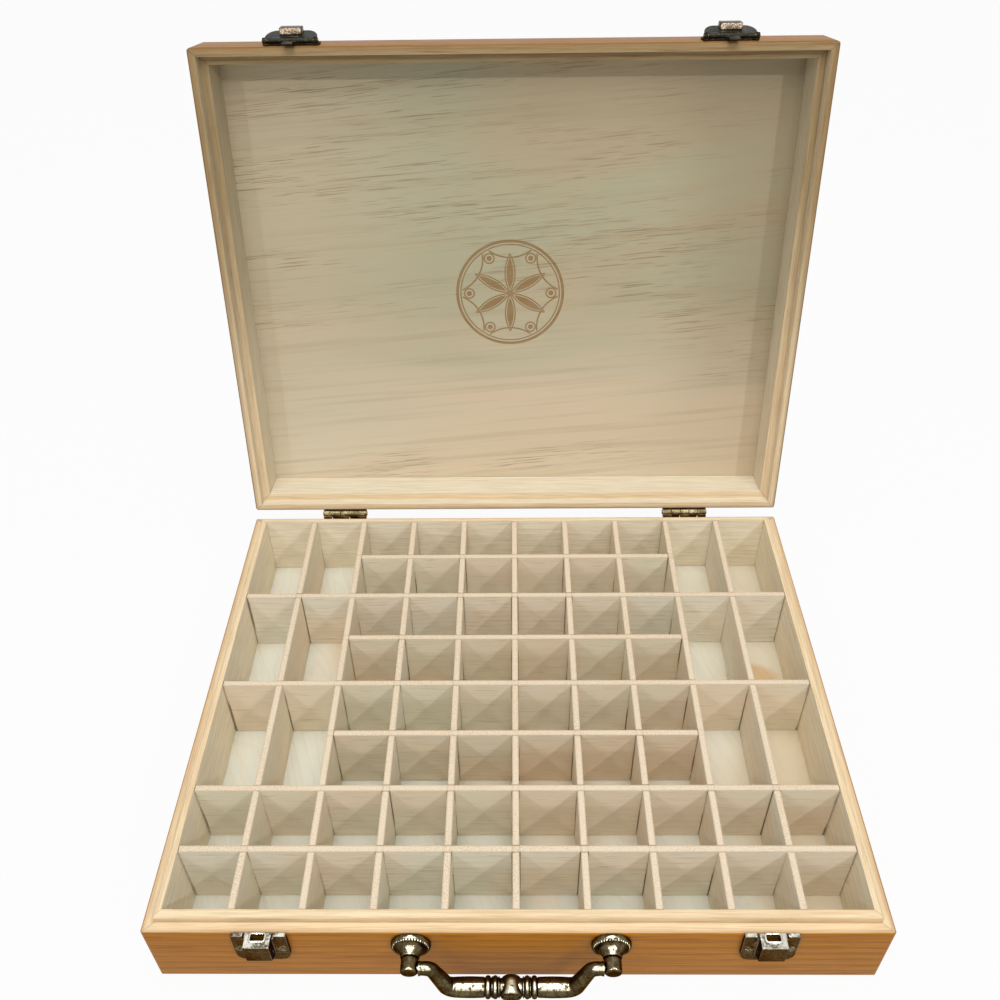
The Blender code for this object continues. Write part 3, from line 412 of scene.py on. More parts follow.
def growth_rings(finish, where, pith, pitch, waver):
    """Rings of a trunk whose pith runs along local X: the distance from the pith, pushed about by two slow
    noises, is cut into rings of one pitch that darken slowly and end at once, and grow faint in places.
    Returns the rings, the fibres along them and a slow cloud, each from 0 to 1."""
    slow = finish.grain(where, (7, 26, 26), detail=2.0)
    slower = finish.grain(where, (2.2, 9, 9), (3, 1, 7), detail=1.0)
    _, y, z = finish.parts(where)
    across, up = y - pith[0], z - pith[1]
    distance = (across * across + up * up).math("SQRT")
    distance = distance + (slow - 0.5) * waver + (slower - 0.5) * (waver * 3)
    phase = (distance / pitch).math("FRACT")
    ring = finish.fade(phase, 0.15, 0.93) * finish.fade(phase, 1.0, 0.93)
    ring = ring.math("POWER", 1 / RING_SHARPNESS) * finish.fade(slower, 0.32, 0.66, 0.35, 1.0)
    fibre = finish.grain(where, (45, 1500, 1500), detail=3.0, roughness=0.6)
    cloud = finish.grain(where, (6, 30, 30), (11, 5, 2), detail=3.0)
    return ring, fibre, cloud


def board_finish(name, side, seed, lid):
    """Lacquered pine: growth rings and fibres in pale wood, amber where the board faces out, nearly bare
    where it faces in. The amber reaches a few millimetres over the outer edge; on the base it ends at the
    rim, below the step of the lip, which is darkened with painted shade. Painted shade also darkens and
    browns the lid's wood towards its front, which stands at the top of the open lid, and the lid's outside
    is brownest beside the rim, where hands lift it."""
    finish = Finish(name, roughness=0.45, Specular_IOR_Level=0.12)
    along_y, sign = side in ("left", "right"), sum(SIDES[side])
    half = BOX_HALF_WIDTH if along_y else BOX_HALF_DEPTH
    outward = facing(finish, opened_way(SIDES[side]) if lid else SIDES[side])
    where = board_frame(finish, along_y, lid, shift=(seed * LOG_STEP, 0, 0))
    height = finish.parts(where)[2]
    box_x, box_y, _ = finish.parts(board_frame(finish, lid=lid))
    depth = half - (box_x if along_y else box_y) * sign
    pith = (sign * half * (-1 if along_y else 1) * PITH_SHARE, PITH_HEIGHT + PITH_STEP * seed)
    ring, fibre, cloud = growth_rings(finish, where, pith, RING_PITCH, RING_WAVER)
    thread = finish.grain(where, (14, 620, 620), (8, 2, 6), detail=3.0, roughness=0.6)

    wood = finish.mix(ring * 0.45, PINE_PALE, PINE_DARK)
    wood = finish.mix(finish.fade(cloud, 0.52, 0.78) * 0.35, wood, PINE_HONEY)
    amber = finish.mix(ring * 0.50, AMBER_PALE, AMBER_DARK)
    amber = finish.mix(finish.fade(cloud, 0.45, 0.75) * 0.5, amber, AMBER_CLOUD)
    amber = finish.mix(finish.fade(thread, 0.52, 0.68) * 0.75, amber, AMBER_DARK)
    bare = finish.mix(ring * 0.22, BARE_PINE, BARE_DARK)
    outside = finish.fade(outward, -0.02, 0.62)
    inside = finish.fade(outward, -0.60, -0.90)
    if lid:
        outside = outside.math("MAXIMUM", finish.fade(facing(finish, LID_UP), 0.30, 0.80))
        # Painted shade: the lid darkens and browns towards its front, the top of the open lid
        painted_shade = finish.fade(box_y + (cloud - 0.5) * 0.08, LID_SHADE_START, LID_SHADE_END)
        streak = finish.grain(where, (16, 420, 420), (2, 9, 4), detail=3.0)
        wood = finish.mix(painted_shade, wood, PINE_PAINTED_SHADE, "MULTIPLY")
        wood = finish.mix(finish.fade(streak, 0.54, 0.68) * painted_shade * 0.55, wood, PINE_STREAK)
        # Painted shade on the lid's bare inside, lighter on the right board
        inside_shade = finish.fade(painted_shade, 0.0, 1.0, 0.4, 1.0) * (0.7 if side == "right" else 1.0)
        bare = finish.mix(inside_shade, bare, BARE_PAINTED_SHADE, "MULTIPLY")
        rubbed_and_highlit = finish.fade(height, LID_RIM + 0.0060, LID_RIM + 0.0006)
        # Beside the rim the outside browns with handling; towards the front painted shade browns it too
        amber = finish.mix((rubbed_and_highlit * 0.75).math("MAXIMUM", painted_shade * 0.50), amber, AMBER_HANDLED_AND_SHADED)
        edge = finish.fade(depth + (cloud - 0.5) * 0.002, 0.0034, 0.0004)
        outside = outside.math("MAXIMUM", edge * 0.50)
    else:
        outside = outside.math("MAXIMUM", finish.fade(depth, 0.0036, 0.0006) * 0.40)
        outside = outside * finish.fade(height, BASE_RIM + 0.0003, BASE_RIM - 0.0001)
        # Painted shade on the outward face of the step below the lip
        step = finish.fade(height, BASE_RIM + 0.0030, BASE_RIM + 0.0002) * finish.fade(outward, 0.3, 0.8)
        wood = finish.mix(step * 0.6, wood, PINE_SHADE)
    colour = finish.mix(inside, finish.mix(outside, wood, amber), bare)
    colour = finish.mix(finish.fade(fibre, 0.35, 0.75, 0.0, 0.30), colour, PINE_FIBRE, "MULTIPLY")
    finish.set(Base_Color=colour, Roughness=finish.fade(fibre, 0.2, 0.8, 0.38, 0.54))
    finish.relief(ring * 0.4 + fibre * 0.6, 0.00012)
    return finish


def show_boards(part, section, first_seed):
    """Shows the four boards of the base or of the lid, all with one section."""
    lid = part == "lid"
    for seed, side in enumerate(SIDES):
        half_length = BOX_HALF_DEPTH if side in ("left", "right") else BOX_HALF_WIDTH
        grid = on_side(board_grid(section, half_length), side)
        mesh = skin(opened(grid) if lid else grid)
        finish = board_finish(f"{side}_{part}_pine", side, first_seed + seed, lid)
        piece(f"{side}_{part}_board", mesh, finish, part, "varnished_pine", f"{part}_{side}_board")


LID_UP = opened_way((0, 0, 1))
floor_rebate = WALL - FLOOR_LAP
floor_bed = FLOOR_TOP + FLOOR_GAP
base_section = np.concatenate([
    arc((FOOT_ROUND, FOOT_ROUND), FOOT_ROUND, 270, 180),
    arc((RIM_ROUND, BASE_RIM - RIM_ROUND), RIM_ROUND, 180, 90),
    [(BASE_BAND, BASE_RIM)],
    arc((BASE_BAND + LIP_SHOULDER, LIP_TOP - LIP_SHOULDER), LIP_SHOULDER, 180, 90),
    [(WALL, LIP_TOP), (WALL, floor_bed), (floor_rebate, floor_bed), (floor_rebate, 0)],
])
show_boards("base", base_section, 0)

# ---- Floor -------------------------------------------------------------------------------
# A sheet of pine plywood let into a rebate of the boards. Each compartment shows a patch of its pale
# face, with broad flames of grain, warm patches and one knot, and painted shade darkens and warms it
# towards the right.
FLOOR_GRAIN = math.radians(68)
FLOOR_FLAMES = 14
KNOT_PLACE = (0.150, 0.034)
KNOT_RADIUS = 0.012
KNOT_RIM = 0.017
FLOOR_PALE = (0.74, 0.74, 0.645)
FLOOR_WARM = (0.70, 0.51, 0.30)
# Painted shade towards the right, where the right board's shadow falls
FLOOR_RIGHT_SHADE = (0.66, 0.555, 0.38)
FLOOR_KNOT = (0.60, 0.36, 0.16)
FLOOR_FLAME = (0.68, 0.54, 0.33)
FLOOR_FIBRE = (0.64, 0.54, 0.38)

floor_ply = Finish("floor_ply", roughness=0.6)
where = floor_ply.placed(floor_ply.place, turn=(0, 0, FLOOR_GRAIN))
flame = floor_ply.grain(where, (4, 22, 22), detail=2.0, distortion=1.2)
line = (flame * FLOOR_FLAMES).math("FRACT")
line = floor_ply.fade(line, 0.5, 0.95) * floor_ply.fade(line, 1.0, 0.95)
patch = floor_ply.fade(floor_ply.noise(floor_ply.place, scale=9.0, detail=2.0), 0.52, 0.66)
fibre = floor_ply.grain(where, (60, 1300, 1300), detail=3.0)
knot = floor_ply.placed(floor_ply.place, shift=(-KNOT_PLACE[0], -KNOT_PLACE[1], 0), stretch=(1, 1, 0))
knot = floor_ply.add("ShaderNodeVectorMath", {"operation": "LENGTH"}, {0: knot}).output("Value")
knot = floor_ply.fade(knot + (flame - 0.5) * 0.03, KNOT_RIM, KNOT_RADIUS)
# Painted shade: the floor darkens and warms towards the right
right_painted_shade = floor_ply.fade(floor_ply.parts(floor_ply.place)[0] + (flame - 0.5) * 0.06, 0.09, 0.16)
colour = floor_ply.mix(patch * 0.45, FLOOR_PALE, FLOOR_WARM)
colour = floor_ply.mix(right_painted_shade * 0.55, colour, FLOOR_RIGHT_SHADE)
colour = floor_ply.mix(knot * 0.75, colour, FLOOR_KNOT)
colour = floor_ply.mix(line * 0.20, colour, FLOOR_FLAME)
colour = floor_ply.mix(floor_ply.fade(fibre, 0.4, 0.8) * 0.20, colour, FLOOR_FIBRE)
floor_ply.set(Base_Color=colour, Roughness=floor_ply.fade(fibre, 0.2, 0.8, 0.5, 0.68))
floor_ply.relief(fibre, 0.00008)
nodes["base_bottom_panel"].data.materials[0] = floor_ply.material

# ---- Dividers ----------------------------------------------------------------------------
# Thin slats of poplar, half lapped into a grid and dropped into the base. Their sawn top edges are
# speckled with open grain; the faces show fine lines along the slat.
COLUMN_PITCH = 0.0343
ROW_PITCH = 0.0351
ROW_SHIFT = -0.0012
SLAT_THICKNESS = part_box("divider_long_5")[1].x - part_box("divider_long_5")[0].x
SLAT_RING_PITCH = 0.0040
SLAT_RING_WAVER = 0.012
SLAT_LOG_STEP = 1.37
SLAT_PITH = (0.31, -0.12)
SLAT_PITH_STEP = 0.06
TOP_GRAIN = 1450.0
TOP_BORDER = 0.0008
# The two ends of a slat's slow change of colour, green first
POPLAR = ((0.79, 0.735, 0.565), (0.82, 0.70, 0.535))
POPLAR_PALE = ((0.80, 0.77, 0.64), (0.83, 0.725, 0.57))
POPLAR_RING = (0.66, 0.50, 0.33)
POPLAR_CLOUD = (0.78, 0.58, 0.38)
POPLAR_HAIR = (0.48, 0.31, 0.16)
JOINT_SHADOW = (0.20, 0.13, 0.07)
TOP_PALE = (0.72, 0.61, 0.45)
TOP_GREEN = (0.72, 0.615, 0.46)
TOP_SPECK = (0.48, 0.32, 0.195)
TOP_EDGE = (0.42, 0.28, 0.16)
TOP_JOINT_SHADOW = (0.30, 0.18, 0.09)
# Slats from browner planks
SLAT_TONES = {"divider_short_5": (0.90, 0.84, 0.77), "divider_short_3": (0.97, 0.93, 0.90)}


def slat_finish(name, seed):
    """Bare slat: fine rings and hairs along the slat, a slow change from green to pink, specks and darker
    borders on the sawn top edge, and in places a thin dark line of painted shadow in the gap where a
    crossing slat stands against it. The distance to the nearest crossing is the place along the slat
    folded back at each half pitch; the outermost long slats are crossed in every second row only."""
    finish = Finish(name, roughness=0.62)
    along_y = name.startswith("divider_long")
    where = board_frame(finish, along_y, shift=(seed * SLAT_LOG_STEP, 0.3, 0.2))
    pith = (SLAT_PITH[0] + SLAT_PITH_STEP * seed, SLAT_PITH[1])
    ring, fibre, cloud = growth_rings(finish, where, pith, SLAT_RING_PITCH, SLAT_RING_WAVER)
    tint = finish.noise(finish.place, scale=16.0, detail=1.0)
    hair = finish.grain(where, (55, 1300, 1300), (5, 1, 8), detail=1.0)
    wood = finish.mix(finish.fade(tint, 0.35, 0.65), *(POPLAR if seed % 3 else POPLAR_PALE))
    wood = finish.mix(1.0, wood, SLAT_TONES.get(name, (1, 1, 1)), "MULTIPLY")
    wood = finish.mix(ring * 0.20, wood, POPLAR_RING)
    wood = finish.mix(finish.fade(cloud, 0.5, 0.8) * 0.25, wood, POPLAR_CLOUD)
    wood = finish.mix(finish.fade(hair, 0.60, 0.72) * 0.38, wood, POPLAR_HAIR)

    x, y, _ = finish.parts(finish.place)
    rows_apart = ROW_PITCH * (2 if name in ("divider_long_1", "divider_long_9") else 1)
    from_column = x.math("PINGPONG", COLUMN_PITCH / 2)
    from_row = (y - ROW_SHIFT).math("PINGPONG", rows_apart / 2)
    crossing, across = (from_row, from_column) if along_y else (from_column, from_row)
    # Painted shadow in the gap where a crossing slat stands against this one
    joint = finish.fade((crossing - SLAT_THICKNESS / 2).math("ABSOLUTE"), 0.0008, 0.0003)
    joint = joint * finish.fade(finish.noise(finish.place, scale=22.0, detail=2.0), 0.44, 0.62, 0.0, 0.9)
    wood = finish.mix(joint, wood, JOINT_SHADOW)

    speck = finish.noise(finish.place, scale=TOP_GRAIN, detail=1.0)
    border = finish.fade(across, SLAT_THICKNESS / 2 - TOP_BORDER, SLAT_THICKNESS / 2)
    edge = finish.mix(finish.fade(speck, 0.46, 0.64) * 0.60, TOP_PALE, TOP_SPECK)
    edge = finish.mix(finish.fade(tint, 0.40, 0.60) * 0.4, edge, TOP_GREEN)
    edge = finish.mix(border * 0.55, edge, TOP_EDGE)
    edge = finish.mix(joint * 0.25, edge, TOP_JOINT_SHADOW)
    top = finish.fade(facing(finish, (0, 0, 1)), 0.4, 0.8)
    pores = finish.add("ShaderNodeMix", {"data_type": "FLOAT"}, {"Factor": top, "A": fibre, "B": speck})
    finish.set(Base_Color=finish.mix(top, wood, edge), Roughness=finish.fade(fibre, 0.2, 0.8, 0.52, 0.72))
    finish.relief(pores, 0.00012)
    return finish


for seed, name in enumerate(sorted(n for n in nodes if n.startswith("divider_"))):
    nodes[name].data.materials[0] = slat_finish(name, seed).material

# ---- Lid boards --------------------------------------------------------------------------
# The lid is made as the base is, from four mitred boards with a rounded crown. A rebate in their
# lower edge takes the lip of the base.
LID_HEIGHT = 0.034
LID_BAND = 0.0047
LID_REBATE = 0.0062
CROWN_ROUND = 0.0040
PANEL_THICKNESS = 0.0040
PANEL_LAP = 0.0046
LID_LOG = 5

panel_bed = LID_HEIGHT - PANEL_THICKNESS - FLOOR_GAP
lid_section = np.concatenate([
    arc((RIM_ROUND, RIM_ROUND), RIM_ROUND, 270, 180),
    arc((CROWN_ROUND, LID_HEIGHT - CROWN_ROUND), CROWN_ROUND, 180, 90),
    [(WALL - PANEL_LAP, LID_HEIGHT), (WALL - PANEL_LAP, panel_bed), (WALL, panel_bed)],
    [(WALL, LID_REBATE), (LID_BAND, LID_REBATE), (LID_BAND, 0)],
]) + (0, LID_RIM)
show_boards("lid", lid_section, LID_LOG)

# ---- Lid panel ---------------------------------------------------------------------------
# A sheet of plywood let into the lid. Its inner face is bare veneer with short brown flecks along the
# grain and a burnt rosette in its middle; the outer face is lacquered like the boards. On the inner face
# painted light brightens the veneer towards the hinge, painted shade darkens its right side, and a
# painted shadow of the right board darkens its upper right.
PANEL_GRAIN = math.radians(5.0)
VENEER_GREEN = (0.405, 0.375, 0.250)
VENEER_TAN = (0.435, 0.355, 0.225)
VENEER_LEFT = (0.53, 0.435, 0.295)
# Painted shade on the right side
VENEER_RIGHT_SHADE = (0.38, 0.285, 0.17)
# Painted light towards the hinge: two ends of a slow change
VENEER_PAINTED_LIGHT = ((0.66, 0.585, 0.43), (0.65, 0.53, 0.37))
# Painted shadow of the right board on the upper right
VENEER_PAINTED_SHADOW = (0.215, 0.180, 0.110)
VENEER_STREAK = (0.34, 0.26, 0.15)
VENEER_MARK = (0.20, 0.125, 0.057)
BURNT_LINE = (0.240, 0.128, 0.036)
ROSETTE_CENTRE = (-0.0020, 0.0030)
ROSETTE_RADIUS = 0.0350
RING_LINES = ((0.0018, 0.0), (0.0035, 0.0027))
PETAL_LENGTH = 0.0265
PETAL_TURN = 0.8660
PETAL_LINE = 0.0008
LEAF_EDGE = (0.0012, 0.0015)
ARC_LINE = (0.0036, 0.0046)
ARC_END = (0.0312, 0.0308)
DOT_SHARES = (0.655, 0.378)
DOT_RING = 0.0036
DOT_RING_LINE = 0.0009
DOT_RADIUS = 0.0018
LINE_SOFT = 0.00018


def burnt_rosette(finish, where):
    """A compass-drawn rosette, 1 on burnt lines: round the centre the angle is folded into half of one of
    six sectors; a petal is what two circles of the petal's length share, drawn as an outline round a
    filled leaf; two rings, arcs between the petals' tips and a ringed dot in each sector go round it."""
    spot = finish.placed(where, shift=(-ROSETTE_CENTRE[0], -ROSETTE_CENTRE[1], 0))
    x, y, _ = finish.parts(spot)
    reach = (x * x + y * y).math("SQRT")
    folded = x.math("ARCTAN2", y).math("PINGPONG", math.pi / 6)
    u, v = reach * folded.math("COSINE"), reach * folded.math("SINE")

    def disc(size, centre_u, centre_v):
        """How far inside a circle a point lies."""
        du, dv = u - centre_u, v - centre_v
        return size - (du * du + dv * dv).math("SQRT")

    def band(value, low, high):
        """1 where the value lies between low and high, soft at both ends."""
        rising = finish.fade(value, low - LINE_SOFT, low + LINE_SOFT)
        return rising * finish.fade(value, high + LINE_SOFT, high - LINE_SOFT)

    dot_place = [ROSETTE_RADIUS * share for share in DOT_SHARES]
    petal = disc(PETAL_LENGTH, PETAL_LENGTH / 2, -PETAL_LENGTH * PETAL_TURN)
    petal = petal.math("MINIMUM", disc(PETAL_LENGTH * 0.98, 0, 0))
    lines = band(petal, 0.0, PETAL_LINE) + finish.fade(petal, *LEAF_EDGE)
    for inner, outer in RING_LINES:
        lines = lines + band(reach, ROSETTE_RADIUS - inner, ROSETTE_RADIUS - outer)
    lines = lines + band(disc(DOT_RING, *dot_place), 0.0, DOT_RING_LINE)
    lines = lines + finish.fade(disc(DOT_RADIUS, *dot_place), 0.0, 0.0003)
    arcs = band(disc(PETAL_LENGTH, PETAL_LENGTH * PETAL_TURN * 2, 0), *ARC_LINE)
    lines = lines + arcs * finish.fade(reach, *ARC_END)
    return lines.math("MINIMUM", 1.0)


panel_ply = Finish("lid_ply", roughness=0.55, Specular_IOR_Level=0.3)
where = board_frame(panel_ply, lid=True)
tilted = panel_ply.placed(where, turn=(0, 0, PANEL_GRAIN))
sideways, across, _ = panel_ply.parts(where)
broad = panel_ply.grain(tilted, (3.5, 11, 11), detail=3.0, distortion=0.6)
streak = panel_ply.grain(tilted, (7, 260, 260), detail=3.0)
fleck = panel_ply.grain(tilted, (38, 1800, 1800), detail=1.0)
zone = panel_ply.grain(tilted, (6, 22, 22), (4, 4, 4), detail=2.0)
marks = panel_ply.fade(fleck, 0.605, 0.665) * panel_ply.fade(zone + across * -0.8, 0.47, 0.66)
leftward = panel_ply.fade(sideways, -0.02, -0.15)
# Painted shade towards the right side
right_painted_shade = panel_ply.fade(sideways + (broad - 0.5) * 0.06, 0.06, 0.17)
# Painted light: the veneer is lighter and warmer towards the hinge, the low end of the open lid
low = panel_ply.fade(across + (broad - 0.5) * 0.16, -0.02, 0.125)
# Painted shadow of the right board over the upper right of the veneer
shadow_patch = panel_ply.fade(sideways + (broad - 0.5) * 0.05 - across * 0.10, 0.088, 0.150)
shadow_patch = shadow_patch * panel_ply.fade(across + (broad - 0.5) * 0.2, 0.15, 0.00)
outside = panel_ply.fade(facing(panel_ply, LID_UP), 0.3, 0.8)
burnt = burnt_rosette(panel_ply, where) * panel_ply.fade(streak, 0.2, 0.8, 0.90, 0.70)
burnt = burnt * (1 - outside)
veneer = panel_ply.mix(panel_ply.fade(broad, 0.42, 0.62), VENEER_GREEN, VENEER_TAN)
veneer = panel_ply.mix(leftward * 0.6, veneer, VENEER_LEFT)
veneer = panel_ply.mix(low, veneer, panel_ply.mix(panel_ply.fade(broad, 0.35, 0.7), *VENEER_PAINTED_LIGHT))
veneer = panel_ply.mix(right_painted_shade * 0.30, veneer, VENEER_RIGHT_SHADE)
veneer = panel_ply.mix(shadow_patch * 0.34, veneer, VENEER_PAINTED_SHADOW)
veneer = panel_ply.mix(panel_ply.fade(streak, 0.45, 0.75) * 0.30, veneer, VENEER_STREAK)
veneer = panel_ply.mix(marks * 0.62, veneer, VENEER_MARK)
veneer = panel_ply.mix(burnt, veneer, BURNT_LINE)
amber = panel_ply.mix(panel_ply.fade(streak, 0.35, 0.75) * 0.75, AMBER_PALE, AMBER_DARK)
colour = panel_ply.mix(outside, veneer, amber)
panel_ply.set(Base_Color=colour, Roughness=panel_ply.fade(streak, 0.2, 0.8, 0.48, 0.62))
panel_ply.relief(streak * 0.3 - marks * 0.2 - burnt * 0.7, 0.0002)
nodes["lid_panel"].data.materials[0] = panel_ply.material

# ---- Hinges ------------------------------------------------------------------------------
# Two brass butt hinges on the back, darkened with age: pressed leaves with rolled knuckles about a
# pin, each leaf held by two cross-head screws.
LEAF_EASE = 0.00022
LEAF_FACE = 0.00125
HINGE_SCREW_X = 0.0085
HINGE_SCREW_RISE = 0.0098
SCREW_RADIUS = 0.0021
SCREW_DOME = 0.0003
SCREW_LENGTH = 0.008
CROSS_WIDTH = 0.0007
CROSS_SPAN = 0.0025
CROSS_DEPTH = 0.0006
CROSS_SOFT = 0.00016
METAL_GRAIN = 520.0
# Painted shade on metal where it faces down: its share and its colour
UNDERSIDE_SHADE_SHARE = 0.70
UNDERSIDE_SHADE = (0.040, 0.029, 0.016)
HOLLOW_BLACK = (0.014, 0.009, 0.005)
# Painted highlight on cast brass: its colour, and the way a surface faces where it lies
HIGHLIGHT_GOLD = (0.80, 0.74, 0.54)
HIGHLIGHT_WAY = (0, -0.40, 0.92)


def eased(node):
    """A solid of the frame as one smooth mesh: its loose triangles are joined, flat faces are made whole,
    and those with more than four corners are cut into triangles again, so that hollow outlines shade
    evenly."""
    shape = bmesh.new()
    shape.from_mesh(nodes[node].data)
    bmesh.ops.remove_doubles(shape, verts=shape.verts, dist=1e-6)
    bmesh.ops.dissolve_limit(shape, angle_limit=math.radians(0.5), verts=shape.verts, edges=shape.edges)
    bmesh.ops.triangulate(shape, faces=[face for face in shape.faces if len(face.verts) > 4])
    mesh = bpy.data.meshes.new(node)
    shape.to_mesh(mesh)
    shape.free()
    mesh.shade_smooth()
    mesh.set_sharp_from_angle(angle=math.radians(35))
    return mesh


def eased_piece(name, node, width, face, edge, body, slot):
    """Shows a solid of the frame with its edges rounded over a width; the rounding has the worn finish."""
    thing = piece(name, eased(node), face, body, slot, node)
    thing.data.materials.append(edge.material)
    rounding = thing.modifiers.new("rounding", "BEVEL")
    rounding.width = width
    rounding.segments = 2
    rounding.limit_method = "ANGLE"
    rounding.angle_limit = math.radians(38)
    rounding.use_clamp_overlap = False
    rounding.material = 1
    rounding.harden_normals = True
    return thing


def metal_finish(name, dark, pale, roughness=0.32, cover=(0.35, 0.70), cast=False):
    """Aged metal: a dark skin broken by paler worn spots, slightly pitted, and darkened with painted shade
    where it faces down. A cast piece carries a "relief" attribute, 1 on raised and 0 in hollow places: the
    hollows stay black, and pale gold, partly wear of raised places and partly painted highlight, lies where
    the surface faces one way, spreading further round on raised places."""
    finish = Finish(name, metallic=1.0, roughness=roughness, Specular_Tint=(0.40, 0.33, 0.24))
    spots = finish.noise(finish.place, scale=METAL_GRAIN, detail=4.0, roughness=0.6)
    soft = finish.noise(finish.place, scale=METAL_GRAIN / 6, detail=2.0)
    share = finish.fade(spots * 0.6 + soft * 0.4, *cover)
    # Painted shade where the metal faces down
    shade_below = finish.fade(facing(finish, (0, 0, 1)), 0.55, -0.35) * UNDERSIDE_SHADE_SHARE
    colour = finish.mix(shade_below, finish.mix(share, dark, pale), UNDERSIDE_SHADE)
    if cast:
        raised = finish.add("ShaderNodeAttribute", {"attribute_name": "relief"}).output("Fac")
        # Painted highlight in pale gold where the surface faces that way; raised places, partly worn, take
        # it further round
        rubbed_and_highlit = facing(finish, HIGHLIGHT_WAY)
        gloss = finish.fade(rubbed_and_highlit, 0.925, 0.975) * finish.fade(spots, 0.38, 0.54)
        gloss = gloss * finish.fade(raised, 0.2, 0.45)
        worn = finish.fade(raised, 0.60, 0.95) * finish.fade(rubbed_and_highlit, 0.78, 0.95)
        worn = worn * finish.fade(spots, 0.30, 0.50)
        colour = finish.mix(finish.fade(raised, 0.45, 0.10), colour, HOLLOW_BLACK)
        colour = finish.mix((gloss * 0.9).math("MAXIMUM", worn * 0.8), colour, HIGHLIGHT_GOLD)
    pits = finish.fade(spots, 0.3, 0.7, roughness + 0.12, roughness - 0.06)
    finish.set(Base_Color=colour, Roughness=pits)
    finish.relief(spots, 0.00002)
    return finish


def ring_about_x(profile, sides=40):
    """A turned body about X from a profile (x, radius): each point of the profile goes round a circle."""
    angle = np.linspace(0, 2 * np.pi, sides, endpoint=False)
    x, radius = profile[:, :1], profile[:, 1:2]
    return np.stack([x + 0 * angle, radius * np.cos(angle), radius * np.sin(angle)], axis=-1)


def pin_profile(half, radius, dome=0.0004):
    """A plain pin with rounded ends: radius falls off on an ellipse over the last `dome` of its length."""
    angle = np.radians(np.linspace(4, 90, 7))
    start = np.stack([-half + dome * (1 - np.sin(angle)), radius * np.sin(angle)], axis=1)
    end = start[::-1] * (-1, 1)
    start[0, 1] = end[-1, 1] = radius * 0.05
    return np.concatenate([start, end])


def screw_grid():
    """A cross-head screw pointing along -out: a domed disc whose cross is pressed in, closed by its cone
    and shank behind. The dome falls with the square of the distance from the middle; the cross is two
    bars with soft sides. Returned as (x, out, z) about the head's face."""
    angle = np.linspace(0, 2 * np.pi, 72, endpoint=False)
    reach = SCREW_RADIUS * np.linspace(0.02, 0.96, 22)[:, None]
    x, z = reach * np.cos(angle), reach * np.sin(angle)

    def bar(thin, long):
        within = np.clip((CROSS_WIDTH / 2 - np.abs(thin)) / CROSS_SOFT + 0.5, 0, 1)
        return within * np.clip((CROSS_SPAN / 2 - np.abs(long)) / CROSS_SOFT + 0.5, 0, 1)

    out = SCREW_DOME * (1 - (reach / SCREW_RADIUS) ** 2) - CROSS_DEPTH * np.maximum(bar(x, z), bar(z, x))
    face = np.stack([x, out, z], axis=-1)
    radius = np.array([1.0, 0.97, 0.48, 0.46, 0.1])[:, None] * SCREW_RADIUS
    back_out = np.array([-0.0001, -0.00025, -0.0011, -SCREW_LENGTH * 0.85, -SCREW_LENGTH])[:, None]
    back = np.stack([radius * np.cos(angle), back_out + 0 * angle, radius * np.sin(angle)], axis=-1)
    return np.concatenate([face, back])


OLD_BRASS = metal_finish("old_brass", (0.100, 0.076, 0.036), (0.36, 0.295, 0.165), cover=(0.40, 0.64))
RUBBED_BRASS = metal_finish("rubbed_brass", (0.22, 0.17, 0.09), (0.56, 0.46, 0.28), roughness=0.26)
screw = screw_grid()
for side in ("left", "right"):
    for part in ("base", "lid"):
        leaf = f"{side}_hinge_{part}_leaf"
        eased_piece(f"{side}_{part}_leaf", leaf, LEAF_EASE, OLD_BRASS, RUBBED_BRASS, part, "old_brass")
    low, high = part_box(f"{side}_hinge_pin")
    middle = (low + high) / 2
    pin = ring_about_x(pin_profile((high.x - low.x) / 2, (high.z - low.z) / 2)) + np.array(middle)
    piece(f"{side}_pin", skin(pin), RUBBED_BRASS, "base", "old_brass", f"{side}_hinge_pin")
    for number, offset in ((1, -HINGE_SCREW_X), (2, HINGE_SCREW_X)):
        for part, rise in (("base", -HINGE_SCREW_RISE), ("lid", HINGE_SCREW_RISE)):
            head = screw + (middle.x + offset, BOX_HALF_DEPTH + LEAF_FACE, middle.z + rise)
            if part == "lid":
                head = opened(head)
            solid = f"{side}_hinge_{part}_screw_{number}"
            name = f"{side}_{part}_screw_{number}"
            piece(name, skin(head, smooth=50), OLD_BRASS, part, "old_brass", solid)

# ---- Keepers -----------------------------------------------------------------------------
# Two pressed keepers screwed to the front of the base: ears with a folded top edge and between them a
# hollow box whose top has an embossed slot for the lever's tongue. The plating is painted bright where it
# faces up and brown where it faces the front: a painted reflection.
KEEPER_EASE = 0.00022
KEEPER_PROUD = 0.0024
KEEPER_SCREW_X = 0.0102
KEEPER_SCREW_Z = 0.0354
SLOT_HALF = 0.0032
SLOT_NEAR = 0.0014
SLOT_FAR = 0.0043
SLOT_CORNER = 0.0005
# How far each ring of the embossed rim stands out round the slot, and how high above the keeper's top
RIM_GROWTH = (0.00002, 0.00010, 0.00035, 0.00075, 0.00105, 0.00115)
RIM_RISE = (-0.0004, 0.00035, 0.00060, 0.00058, 0.00030, -0.0003)
# Painted reflection on the plating: grey to bright where it faces up, brown where it faces the front
NICKEL_GREY = (0.10, 0.088, 0.062)
NICKEL_BRIGHT = (0.60, 0.585, 0.51)
NICKEL_FRONT_SHADE = ((0.095, 0.062, 0.036), (0.170, 0.122, 0.076))


def rounded_ring(half_x, half_y, corner):
    """Points round a rectangle with quarter-circle corners, centred on zero."""
    quarters = []
    for start, x, y in ((0, 1, 1), (90, -1, 1), (180, -1, -1), (270, 1, -1)):
        quarters.append(arc((x * (half_x - corner), y * (half_y - corner)), corner, start, start + 90))
    return np.concatenate(quarters)


